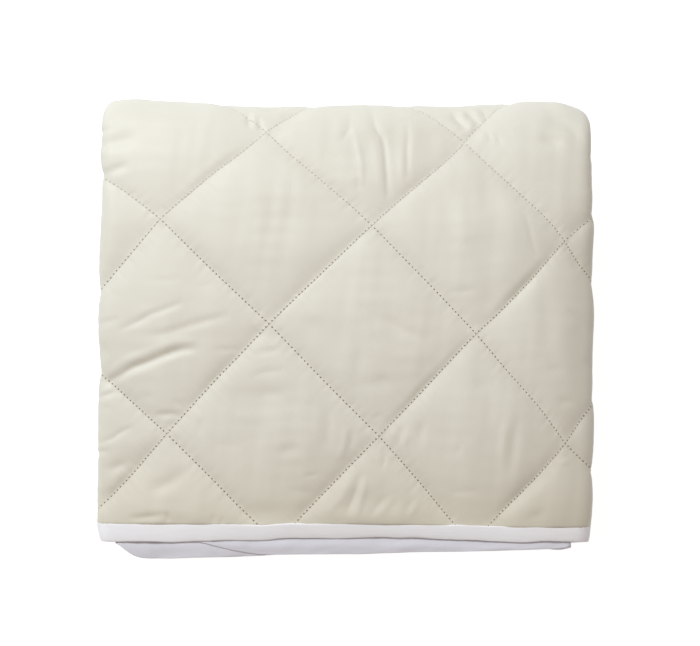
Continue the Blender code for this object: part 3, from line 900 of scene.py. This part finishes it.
def stitch_thread():
    """Every stitch as a tube over (stitch, along, round): its radius is the thread's times a
    rounded profile, and its line dips at both ends by the fourth power of the way out."""
    p, q, way = (value[:, None, None] for value in stitch_middles())
    t = np.linspace(-1, 1, THREAD_STEPS)[None, :, None]
    turn = (np.arange(THREAD_SIDES) * 2 * math.pi / THREAD_SIDES)[None, None, :]
    radius = THREAD * np.sqrt(1 - THREAD_TAPER * t**4)
    forth = t * STITCH_SHOWS / 2 / STITCHES + 0 * turn
    aside = radius * np.cos(turn) / SIDE
    p_at = p + (1 - way) * forth + way * aside
    q_at = q + way * forth + (1 - way) * aside
    u, v = off_grid(p_at, q_at)
    a, s = eased(u, v)
    middle_u, middle_v = off_grid(p + (1 - way) * forth, q + way * forth)
    middle_a, middle_s = eased(middle_u, middle_v)
    base = outer_height(middle_a, middle_s, middle_u, middle_v)
    base = base + uneven(middle_a, middle_s, middle_u, middle_v)
    height = base + THREAD_RISE * THREAD - STITCH_DIP * t**4 + radius * np.sin(turn)
    points = place(a, s, height)
    count = len(p)
    ids = np.arange(count * THREAD_STEPS * THREAD_SIDES).reshape(count, THREAD_STEPS, THREAD_SIDES)
    following = np.roll(ids, -1, axis=2)
    ring = [ids[:, :-1], ids[:, 1:], following[:, 1:], following[:, :-1]]
    quads = np.stack(ring, axis=-1).reshape(-1, 4)
    first, last = ids[:, 0], ids[:, -1]
    ends = []
    for cap in (first, last[:, ::-1]):
        ends.append(cap[:, [0, 1, 2, 3]])
        ends.append(cap[:, [0, 3, 4, 5]])
    faces = np.concatenate([quads, *ends])
    return build("quilting_thread", points.reshape(-1, 3), faces)


thread = stitch_thread()

# %% [markdown]
# ## The binding
# A bias tape is folded over the raw edge and sewn on, all the way round. It is a profile carried
# along a path: the path is the panel's edge, and the profile is a flat oval, thinner at its outer
# side and squarer where it laps over the quilt. The tape ripples a little on its outer side. Along
# the front it rests on the uneven cloth below, so a table says how much of its width shows there
# and how it slopes.

# %% Binding tape
TAPE_STEP = 0.003
TAPE_SIDES = 24
TAPE_SQUARE = 0.80  # the power that squares the oval: 1 is an ellipse, and 0 a box
TAPE_LAP = 0.0022  # how far the tape laps over the quilt's edge
LAP_UNEVEN = 0.15
RIPPLE = 0.00020
TAPE_WAVES = (
    # count, shortest, longest, seed: ripples in height, in width, and of the lap
    (14, 0.009, 0.050, 21),
    (10, 0.020, 0.090, 22),
    (10, 0.018, 0.080, 23),
)
TAPE_FRONT = (
    # a, share of the tape's width that shows, slope: a negative one rises outwards
    (-0.225, 1.04, -0.01),
    (-0.150, 1.03, -0.02),
    (-0.060, 0.85, -0.03),
    (0.040, 0.80, -0.03),
    (0.120, 0.83, -0.12),
    (0.190, 0.88, -0.18),
    (0.225, 0.93, -0.18),
)
TAPE_INNER = 0.25  # the squaring power of the side that meets the quilt
TAPE_RISE = 0.0003  # how much thicker it is where it laps over the quilt
TAPE_TAPER = 0.70  # how much thinner the tape is at its outer side


def edge_path():
    """The panel's edge as (a, s, out_a, out_s) in a loop: straight sides, with the way out square
    to them, and slanting at the four corners."""
    wide = np.linspace(-QUILT_HALF, QUILT_HALF, round(2 * QUILT_HALF / TAPE_STEP) + 1)
    long = np.linspace(0, QUILT_LENGTH, round(QUILT_LENGTH / TAPE_STEP) + 1)
    one_wide, one_long = np.ones_like(wide), np.ones_like(long)
    sides = []
    for a, s, out_a, out_s in (
        (wide, 0 * wide, 0 * wide, -one_wide),
        (QUILT_HALF * one_long, long, one_long, 0 * long),
        (wide[::-1], QUILT_LENGTH * one_wide, 0 * wide, one_wide),
        (-QUILT_HALF * one_long, long[::-1], -one_long, 0 * long),
    ):
        rows = np.stack([a, s, out_a, out_s], axis=1)
        rows[0, 2:] = np.sign(rows[0, :2] - (0, QUILT_LENGTH / 2))
        sides.append(rows[:-1])
    return np.concatenate(sides)


def squared(value, power):
    """A sine or cosine raised to a power below one, with its sign kept, which squares a circle."""
    return np.sign(value) * np.abs(value) ** power


def ring_faces(rows, columns):
    """Quads of a closed ring: rows go round the loop and columns round the section."""
    ids = np.arange(rows * columns).reshape(rows, columns)
    beside, ahead = np.roll(ids, -1, axis=1), np.roll(ids, -1, axis=0)
    return np.stack([ids, beside, np.roll(beside, -1, axis=0), ahead], axis=-1).reshape(-1, 4)


def binding_tape():
    """The oval section at every step of the path, with ripples that fade at the quilt's side."""
    path = edge_path()
    step = np.linalg.norm(np.diff(path[:, :2], axis=0, append=path[:1, :2]), axis=1)
    way = np.cumsum(step)[:, None]
    angle = (np.arange(TAPE_SIDES) * 2 * math.pi / TAPE_SIDES)[None, :]
    power = np.where(np.cos(angle) > 0, TAPE_SQUARE, TAPE_INNER)
    out = squared(np.cos(angle), power) + 0 * way
    up = squared(np.sin(angle), power) + 0 * way
    ripple, roll, uneven_lap = (waves(way, 0 * way, *kind) for kind in TAPE_WAVES)
    on_front = (path[:, 1:2] == 0) & (path[:, 3:4] < 0)
    on_front = on_front * (1 - smooth(MIDDLE_HALF, MIDDLE_HALF + SIDE_ARC, np.abs(path[:, :1])))
    wide = 1 + on_front * (from_table(TAPE_FRONT, 1, path[:, :1]) - 1)
    slope = on_front * from_table(TAPE_FRONT, 2, path[:, :1])
    lap = TAPE_LAP * (1 + LAP_UNEVEN * uneven_lap)
    reach_out = (BINDING_WIDTH + lap) / 2 * (1 + out) * wide - lap + RIPPLE * roll * (1 + out)
    thick = BINDING_THICKNESS * (1 - TAPE_TAPER * (1 + out) / 2)
    height = thick / 2 * up + RIPPLE * ripple * up * (0.5 + 0.5 * out)
    height = height + TAPE_RISE * up * (1 - out) / 2 - slope * reach_out
    a = path[:, :1] + path[:, 2:3] * reach_out
    s = path[:, 1:2] + path[:, 3:4] * reach_out
    points = place(a, s, height)
    around = np.broadcast_to(angle / (2 * math.pi), way.shape[:1] + angle.shape[1:])
    uv = np.stack([way + 0 * angle, around], axis=-1)
    faces = ring_faces(*points.shape[:2])
    return build("binding_tape", points.reshape(-1, 3), faces[:, ::-1], uv.reshape(-1, 2))


tape = binding_tape()

# %% [markdown]
# ## The skirts
# A thin stretch cloth is sewn on under each end of the panel, to be tucked round a mattress. In the
# bundle it is folded back and forth and pushed into the pocket between the two layers of a strip,
# so only two folds of it stand out past the binding. Its section is a line of four runs joined by
# three half circles, carried across the bundle, and the line is then given a thickness.

# %% The skirts' sizes
SKIRT_THICKNESS = 0.0004
SKIRT_PITCH = 0.0006
SKIRT_DEPTH = 0.300
SKIRT_START = 0.019
SKIRT_RUN_STEPS = 18
SKIRT_TURN_STEPS = 6
SKIRT_STEP = 0.004  # across the bundle
FRONT_SKIRT = (
    # x, upper fold, lower fold: how far each stands out past the binding
    (-0.208, -0.006, 0.000),
    (-0.199, -0.006, 0.009),
    (-0.187, -0.005, 0.016),
    (-0.160, -0.004, 0.016),
    (-0.138, -0.001, 0.015),
    (-0.105, 0.007, 0.014),
    (-0.078, 0.0115, 0.0125),
    (-0.040, 0.0115, 0.010),
    (0.010, 0.012, 0.008),
    (0.090, 0.008, 0.005),
    (0.160, 0.005, 0.002),
    (0.192, 0.004, 0.005),
    (0.199, 0.004, 0.006),
    (0.206, 0.001, 0.002),
)
BACK_SKIRT = (
    # x, upper fold, lower fold
    (-0.200, 0.000, 0.002),
    (-0.150, 0.001, 0.003),
    (-0.100, 0.003, 0.002),
    (-0.050, 0.004, 0.001),
    (0.000, 0.003, 0.002),
    (0.050, 0.002, 0.004),
    (0.100, 0.002, 0.005),
    (0.150, 0.001, 0.003),
    (0.200, 0.001, 0.002),
)


# %% The skirts' cloth
SKIRT_CREASES = (
    # x, lean, depth, width: soft furrows that run out from the binding, in millimetres
    (-188, 0.3, 0.9, 4.0),
    (-172, 0.3, 2.0, 7.0),
    (-150, -0.2, -0.4, 6.0),
    (-118, 0.6, 0.4, 5.0),
    (-84, -0.8, 0.7, 7.0),
    (-30, 0.3, -0.4, 9.0),
    (22, -0.4, 0.4, 8.0),
    (74, 0.5, -0.4, 9.0),
    (128, -0.3, 0.4, 7.0),
    (168, 0.4, 0.5, 5.0),
    (194, -0.5, 0.7, 4.0),
)
SKIRT_RIPPLE = 0.00025
SKIRT_WAVES = (12, 0.008, 0.040, 31)  # count, shortest, longest, seed
SKIRT_LIFT = 0.0079  # how far the cloth springs up past the binding
SKIRT_TILT = 0.24  # how steeply it goes on rising, from the middle to the right
TILT_RUN = (-0.15, 0.0)  # where along x that sets in
FREE_RUN = (-0.012, 0.005)  # from held to free, as a length past the binding


def skirt_line(upper, lower):
    """The section's line for every x at once, as (out, w): out past the binding's outer edge, and
    w over the strip's middle plane. It starts under the quilt's edge, where it is sewn on. Points
    along a run are spaced by a cosine, closer where it turns."""
    turn = SKIRT_PITCH / 2
    behind = -(SKIRT_DEPTH - SKIRT_START - 2 * upper - 2 * lower) / 3
    under = SIDE_RADIUS + inner_height(0, SKIRT_START - BINDING_WIDTH)
    t = (1 - np.cos(math.pi * np.arange(1, SKIRT_RUN_STEPS) / SKIRT_RUN_STEPS)) / 2
    angle = np.linspace(0, math.pi, SKIRT_TURN_STEPS + 1)
    level = 1.5 * SKIRT_PITCH
    out = [np.full_like(upper, -SKIRT_START)]
    w = [np.full_like(upper, under - SEAM_GAP - SKIRT_THICKNESS / 2)]
    for stop, way in ((upper, 1), (behind, -1), (lower, 1), (behind, -1)):
        end = stop - way * turn
        out.append(out[-1][:, -1:] + (end - out[-1][:, -1:]) * t)
        w.append(w[-1][:, -1:] + (level - w[-1][:, -1:]) * t)
        out.append(stop - way * turn * (1 - np.sin(angle)))
        w.append(level - turn * (1 - np.cos(angle)) + 0 * stop)
        level -= SKIRT_PITCH
    return np.concatenate(out[:-1], axis=1), np.concatenate(w[:-1], axis=1)


def skirt_furrows(x, out):
    """How far the cloth past the binding is lifted or lowered: rounded furrows across x, each
    leaning a little as it runs out, and a few small waves, on a gentle spring upwards. It follows
    the tape's slope, goes on rising towards the right, and is nothing inside the pocket."""
    lift = SKIRT_LIFT + SKIRT_RIPPLE * waves(x, 2 * out, *SKIRT_WAVES)
    for at, lean, depth, width in SKIRT_CREASES:
        away = x - at * MM - lean * out
        lift = lift - depth * MM * np.exp(-((away / (width * MM)) ** 2))
    lift = lift - BINDING_WIDTH * from_table(TAPE_FRONT, 2, x)
    lift = lift + SKIRT_TILT * np.maximum(out, 0) * smooth(*TILT_RUN, x)
    return lift * smooth(*FREE_RUN, out)


def skirt_cloth(name, table, at_back):
    """The line at every x, moved to both sides of itself along its normal, and closed all round
    like the slab of a sheet."""
    rows = np.array(table)
    x = np.linspace(rows[0, 0], rows[-1, 0], round((rows[-1, 0] - rows[0, 0]) / SKIRT_STEP) + 1)
    upper = from_table(table, 1, x)[:, None]
    lower = from_table(table, 2, x)[:, None]
    out, w = skirt_line(upper, lower)
    step_out, step_w = np.gradient(out, axis=1), np.gradient(w, axis=1)
    length = np.hypot(step_out, step_w)
    lift = skirt_furrows(np.broadcast_to(x[:, None], out.shape), out)
    sides = []
    for side in (1, -1):
        at_out = out - side * step_w / length * SKIRT_THICKNESS / 2
        at_w = w + side * step_out / length * SKIRT_THICKNESS / 2 + lift
        past = at_out + BINDING_WIDTH
        s = QUILT_LENGTH + past if at_back else -past
        y, z = along(s, at_w)
        sides.append(settle(np.broadcast_to(x[:, None], y.shape), y, z, s))
    points = np.concatenate(sides, axis=1)
    rows_across, around = points.shape[:2]
    half = around // 2
    order = np.concatenate([np.arange(half), np.arange(around - 1, half - 1, -1)])
    ids = np.arange(rows_across * around).reshape(rows_across, around)[:, order]
    beside = np.roll(ids, -1, axis=1)
    walls = np.stack([ids[:-1], beside[:-1], beside[1:], ids[1:]], axis=-1).reshape(-1, 4)
    caps = []
    for row in (ids[0, ::-1], ids[-1]):
        first, second = row[:half], row[half:][::-1]
        caps.append(np.stack([first[:-1], first[1:], second[1:], second[:-1]], axis=-1))
    faces = np.concatenate([walls, *caps])
    run = np.cumsum(np.hypot(step_out, step_w), axis=1)
    uv = np.stack([np.broadcast_to(x[:, None], run.shape), run], axis=-1)
    uv = np.concatenate([uv, uv], axis=1).reshape(-1, 2)
    return build(name, points.reshape(-1, 3), faces, uv)


skirt_front = skirt_cloth("skirt_front_cloth", FRONT_SKIRT, False)
skirt_back = skirt_cloth("skirt_back_cloth", BACK_SKIRT, True)


# %% [markdown]
# ## Faces outwards
# Each closed piece should have its faces outwards, which the sign of its volume tells: the sum over
# its triangles of the box product of their corners. A piece that comes out negative is turned.

# %% Turn what is inside out
def turned_outwards(piece):
    """Reverses a closed piece's faces if its signed volume is negative, and gives the volume."""
    mesh = piece.data
    mesh.calc_loop_triangles()
    points = np.empty(3 * len(mesh.vertices), np.float32)
    mesh.vertices.foreach_get("co", points)
    corners = np.empty(3 * len(mesh.loop_triangles), np.int32)
    mesh.loop_triangles.foreach_get("vertices", corners)
    a, b, c = points.reshape(-1, 3)[corners.reshape(-1, 3)].transpose(1, 0, 2).astype(float)
    volume = np.einsum("ij,ij->i", a, np.cross(b, c)).sum() / 6
    if volume < 0:
        mesh.flip_normals()
    return abs(volume)


for piece in (panel, thread, tape, skirt_front, skirt_back):
    print(f"{piece.name}: {1000 * turned_outwards(piece):.3f} litres")

# %% [markdown]
# ## Shader maths
# A finish is a formula over the surface. So that it reads like one, a `Wire` wraps an output
# socket, and sums and products of wires add the Math nodes. Every other node comes from
# `Finish.node`, which sets the node's settings first and then fills or links its sockets.

# %% Wires and finishes
class Wire:
    """A number, colour or vector that varies over a surface."""

    def __init__(self, finish, socket):
        self.finish = finish
        self.socket = socket

    def math(self, operation, *others):
        """A Math node of this wire and the others, in that order."""
        sockets = dict(enumerate((self, *others)))
        return self.finish.node("Math", {"operation": operation}, sockets)

    def __add__(self, other):
        return self.math("ADD", other)

    def __sub__(self, other):
        return self.math("SUBTRACT", other)

    def __rsub__(self, other):
        return self.math("MULTIPLY", -1.0).math("ADD", other)

    def __mul__(self, other):
        return self.math("MULTIPLY", other)

    def __pow__(self, other):
        return self.math("POWER", other)

    def __mod__(self, other):
        return self.math("FLOORED_MODULO", other)

    def __abs__(self):
        return self.math("ABSOLUTE")

    __radd__ = __add__
    __rmul__ = __mul__


class Finish:
    """One material: its shader, and the one way to add a node to it."""

    def __init__(self, name, **constants):
        self.material = bpy.data.materials.new(name)
        self.material.use_nodes = True
        self.tree = self.material.node_tree
        self.shader = self.tree.nodes["Principled BSDF"]
        for socket, value in constants.items():
            self.feed(self.shader.inputs[socket.replace("_", " ")], value)

    def feed(self, socket, value):
        """Links a wire to a socket, or sets a plain value on it."""
        if isinstance(value, Wire):
            self.tree.links.new(value.socket, socket)
        else:
            socket.default_value = value

    def node(self, kind, settings, sockets, output=0):
        """A node of that kind, its settings first and then its sockets, and one output of it."""
        made = self.tree.nodes.new("ShaderNode" + kind)
        for name, value in settings.items():
            setattr(made, name, value)
        for socket, value in sockets.items():
            self.feed(made.inputs[socket], value)
        return Wire(self, made.outputs[output])

    def mix(self, factor, first, second):
        """From the first colour to the second, as the factor goes from 0 to 1."""
        sockets = {"Factor": factor, 6: first, 7: second}
        return self.node("Mix", {"data_type": "RGBA"}, sockets, 2)

    def noise(self, vector, scale, detail=2.0):
        """Noise of so many lumps to a metre, from 0 to 1."""
        sockets = {"Vector": vector, "Scale": scale, "Detail": detail}
        return self.node("TexNoise", {}, sockets)

    def step(self, value, low, high):
        """0 below low and 1 above high, with an even ease between."""
        sockets = {"Value": value, "From Min": low, "From Max": high}
        return self.node("MapRange", {"interpolation_type": "SMOOTHSTEP"}, sockets)

    def own_uv(self):
        """The piece's own UV map, as its two numbers and as a vector."""
        vector = self.node("UVMap", {"uv_map": "cloth"}, {})
        parts = [self.node("SeparateXYZ", {}, {0: vector}, number) for number in (0, 1)]
        return parts[0], parts[1], vector

    def stretched(self, vector, scale):
        """A vector whose three numbers are multiplied, which draws a noise out one way."""
        return self.node("VectorMath", {"operation": "MULTIPLY"}, {0: vector, 1: scale})

    def bumps(self, *heights):
        """A normal that is bent by heights in metres, one Bump node after another."""
        normal = None
        for height in heights:
            sockets = {"Height": height, "Distance": 1.0}
            if normal is not None:
                sockets["Normal"] = normal
            normal = self.node("Bump", {}, sockets)
        self.feed(self.shader.inputs["Normal"], normal)


# %% [markdown]
# ## Sateen
# Cotton sateen has its weft on top, in long floats, which gives it a soft lustre along one way of
# the cloth. Here that is a fairly low roughness, fine threads as a bump drawn out across the panel,
# and a slight unevenness of colour, as undyed cotton has. Towards the front seam the cream is
# painted warmer, as painted warm shade. The panel's UV map counts diamonds, so the needle holes
# follow the stitch lines exactly: they are dots at whole numbers of one coordinate, and at every
# thirty-fourth part of the other. Their dark colour is painted shade, paler towards the back.

# %% Sateen, with its needle holes
CREAM = (0.680, 0.659, 0.592, 1.0)
CREAM_DEEP = (0.640, 0.614, 0.536, 1.0)
CREAM_PAINTED_WARM_SHADE = (0.665, 0.628, 0.530, 1.0)  # painted warm shade, nearest the front seam
WARM_SHADE_SHARE = 0.6
WARM_SHADE_RUN = (-0.19, -0.08)  # where along y the painted warm shade fades out
# painted shade in the needle holes
HOLE_SHADE_COLOUR = (0.200, 0.140, 0.085, 1.0)
HOLE_SHADE_PALE = (0.560, 0.520, 0.440, 1.0)  # the holes' painted shade, paler towards the back, where the thread pulls less
SHADE_FADE_RUN = (0.02, 0.185)  # where along y the holes' painted shade grows faint
HOLE_RADIUS = 0.00066
HOLE_SOFT = 0.00060
HOLE_DEPTH = 0.0003
WEFT = 3200  # threads to a metre


def hole_mask(finish, across_line, along_line):
    """1 in the needle holes of one set of lines: a soft dot where the distance to the line and to
    the nearest hole along it, as the sides of a right angle, come to less than its radius."""
    aside = (abs((across_line + 0.5) % 1.0 - 0.5)) * SIDE
    onward = (abs((along_line * STITCHES + 0.5) % 1.0 - 0.5)) * STITCH
    distance = (aside * aside + onward * onward) ** 0.5
    return 1.0 - finish.step(distance, HOLE_RADIUS - HOLE_SOFT / 2, HOLE_RADIUS + HOLE_SOFT / 2)


def sateen(name, with_holes):
    """Cream cotton sateen, with painted warm shade towards the front seam. Where it is the panel's,
    it has the needle holes, with painted shade in them.
    """
    finish = Finish(name, Specular_IOR_Level=0.42, Sheen_Weight=0.06, Sheen_Roughness=0.5)
    spot = finish.node("TexCoord", {}, {}, 3)
    tone = finish.step(finish.noise(spot, 9.0, 3.0), 0.3, 0.7)
    colour = finish.mix(tone * 0.35, CREAM, CREAM_DEEP)
    slubs = finish.noise(finish.stretched(spot, (60.0, 900.0, 900.0)), 1.0, 2.0)
    colour = finish.mix(finish.step(slubs, 0.55, 0.85) * 0.10, colour, CREAM_DEEP)
    threads = finish.noise(finish.stretched(spot, (0.25, 1.0, 1.0)), WEFT, 1.0)
    back = finish.node("SeparateXYZ", {}, {0: spot}, 1)
    # painted warm shade: the cream turns warmer towards the front seam
    colour = finish.mix((1.0 - finish.step(back, *WARM_SHADE_RUN)) * WARM_SHADE_SHARE, colour, CREAM_PAINTED_WARM_SHADE)
    roughness = 0.50 + finish.noise(spot, 30.0) * 0.08
    if with_holes:
        p, q, _ = finish.own_uv()
        first = hole_mask(finish, p, q)
        second = hole_mask(finish, q, p)
        holes = first.math("MAXIMUM", second)
        # the needle holes are painted dark as shade, paler towards the back
        painted_hole_shade = finish.mix(finish.step(back, *SHADE_FADE_RUN), HOLE_SHADE_COLOUR, HOLE_SHADE_PALE)
        colour = finish.mix(holes, colour, painted_hole_shade)
        roughness = roughness + holes * 0.3
        finish.bumps(threads * 0.00003, holes * -HOLE_DEPTH)
    else:
        finish.bumps(threads * 0.00003)
    finish.feed(finish.shader.inputs["Base Color"], colour)
    finish.feed(finish.shader.inputs["Roughness"], roughness)
    return finish.material


panel.data.materials.append(sateen("cream_sateen", True))
thread.data.materials.append(sateen("cream_thread", False))
print("sateen on", panel.name, "and", thread.name)

# %% [markdown]
# ## White tape and jersey
# The binding is a plain cotton tape, whiter and duller than the sateen, with a fine rib across it.
# The skirt is a thin knit, which shows as tiny columns of loops. Its grey is partly painted
# shade, for the shade it lies in under the tape.

# %% Tape and jersey
TAPE_WHITE = (0.890, 0.892, 0.940, 1.0)
TAPE_SHADE = (0.845, 0.847, 0.895, 1.0)
TAPE_RIBS = 1400  # to a metre
# both greys are partly painted shade: the skirt lies in the tape's shade
JERSEY_GREY_PAINTED_SHADE = (0.625, 0.616, 0.678, 1.0)
JERSEY_SHADE = (0.575, 0.567, 0.628, 1.0)
WALES = 1100  # knit columns to a metre


def ribbed_white(name, white, shade, ribs, depth, roughness):
    """A white cloth with fine ribs square to the first way of its UV map, in metres."""
    finish = Finish(name, Specular_IOR_Level=0.3, Sheen_Weight=0.05)
    along_piece, _, vector = finish.own_uv()
    rib = (along_piece * (ribs * 2 * math.pi)).math("SINE")
    tone = finish.step(finish.noise(vector, 40.0, 3.0), 0.35, 0.7)
    finish.feed(finish.shader.inputs["Base Color"], finish.mix(tone * 0.5, white, shade))
    fuzz = finish.noise(vector, 900.0, 2.0)
    finish.feed(finish.shader.inputs["Roughness"], roughness + fuzz * 0.1)
    finish.bumps(rib * depth, fuzz * 0.00005)
    return finish.material


tape.data.materials.append(
    ribbed_white("white_tape", TAPE_WHITE, TAPE_SHADE, TAPE_RIBS, 0.00002, 0.72)
)
jersey = ribbed_white("thin_jersey", JERSEY_GREY_PAINTED_SHADE, JERSEY_SHADE, WALES, 0.00002, 0.80)
skirt_front.data.materials.append(jersey)
skirt_back.data.materials.append(jersey)
print("tape and jersey ready")

# %% [markdown]
# ## Floor and light
# The bundle lies on a plain pale floor, which glows a little so that it stays pale in the bundle's
# shadow. One large soft lamp stands high at the back on the left. Its slant is what shows the
# quilting, so it is not too high. A wide, warmer lamp right above and a dim world fill the shadows.

# %% Floor, lamp and world
FLOOR_SIDE = 12.0
FLOOR_DROP = 0.0004  # how far it lies under the bundle
KEY_PLACE = (-1.19, 1.76, 2.25)
KEY_SIZE = 1.0
KEY_POWER = 75.0
KEY_COLOUR = (0.875, 0.955, 1.0)
FILL_HEIGHT = 2.6
FILL_SIZE = 2.4
FILL_POWER = 18.0
FILL_COLOUR = (1.0, 0.88, 0.77)
WORLD_COLOUR = (1.0, 0.88, 0.77, 1.0)
WORLD_STRENGTH = 0.25
FLOOR_GLOW = 0.90

ways = np.array([(-1, -1, 0), (1, -1, 0), (1, 1, 0), (-1, 1, 0)])
floor_points = ways * FLOOR_SIDE / 2 - (0, 0, FLOOR_DROP)
floor = build("floor", floor_points, np.array([[0, 1, 2, 3]]))
pale = Finish(
    "pale_floor",
    Base_Color=(0.25, 0.25, 0.25, 1.0),
    Roughness=0.9,
    Specular_IOR_Level=0.1,
    Emission_Color=(1.0, 1.0, 1.0, 1.0),
    Emission_Strength=FLOOR_GLOW,
)
floor.data.materials.append(pale.material)


def lamp(name, size, power, colour, at):
    """A round soft lamp at a place, turned to the bundle's top, and how far away it is."""
    made = bpy.data.objects.new(name, bpy.data.lights.new(name, "AREA"))
    made.data.shape = "DISK"
    made.data.size = size
    made.data.energy = power
    made.data.color = colour
    made.location = at
    aim = np.array([0, 0, FACE_LEVEL]) - at
    tilt = math.acos(-aim[2] / np.linalg.norm(aim))
    made.rotation_euler = (tilt, 0, math.atan2(aim[1], aim[0]) - math.pi / 2)
    bpy.context.collection.objects.link(made)
    return np.linalg.norm(aim)


far = lamp("key_lamp", KEY_SIZE, KEY_POWER, KEY_COLOUR, KEY_PLACE)
lamp("fill_lamp", FILL_SIZE, FILL_POWER, FILL_COLOUR, (0, 0, FILL_HEIGHT))

world = bpy.data.worlds.new("studio")
bpy.context.scene.world = world
world.use_nodes = True
background = world.node_tree.nodes["Background"]
background.inputs["Color"].default_value = WORLD_COLOUR
background.inputs["Strength"].default_value = WORLD_STRENGTH
print("lamp", round(float(far), 2), "m away")

# %% [markdown]
# ## What each piece is
# Every piece rides on the one body, and the imported solid that it stands for, where it has
# one, is hidden.

# %% Bodies, and the solids they stand for
for piece, node, finish_slot in (
    (panel, "quilt", "sateen"),
    (thread, None, "sateen"),
    (tape, "binding", "binding"),
    (skirt_front, "skirt_front", "skirt"),
    (skirt_back, "skirt_back", "skirt"),
):
    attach(piece, "root")
    if node is not None:
        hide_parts(node)

2 * QUILT_HALF
print("pieces:", [piece.name for piece in (panel, thread, tape, skirt_front, skirt_back)])
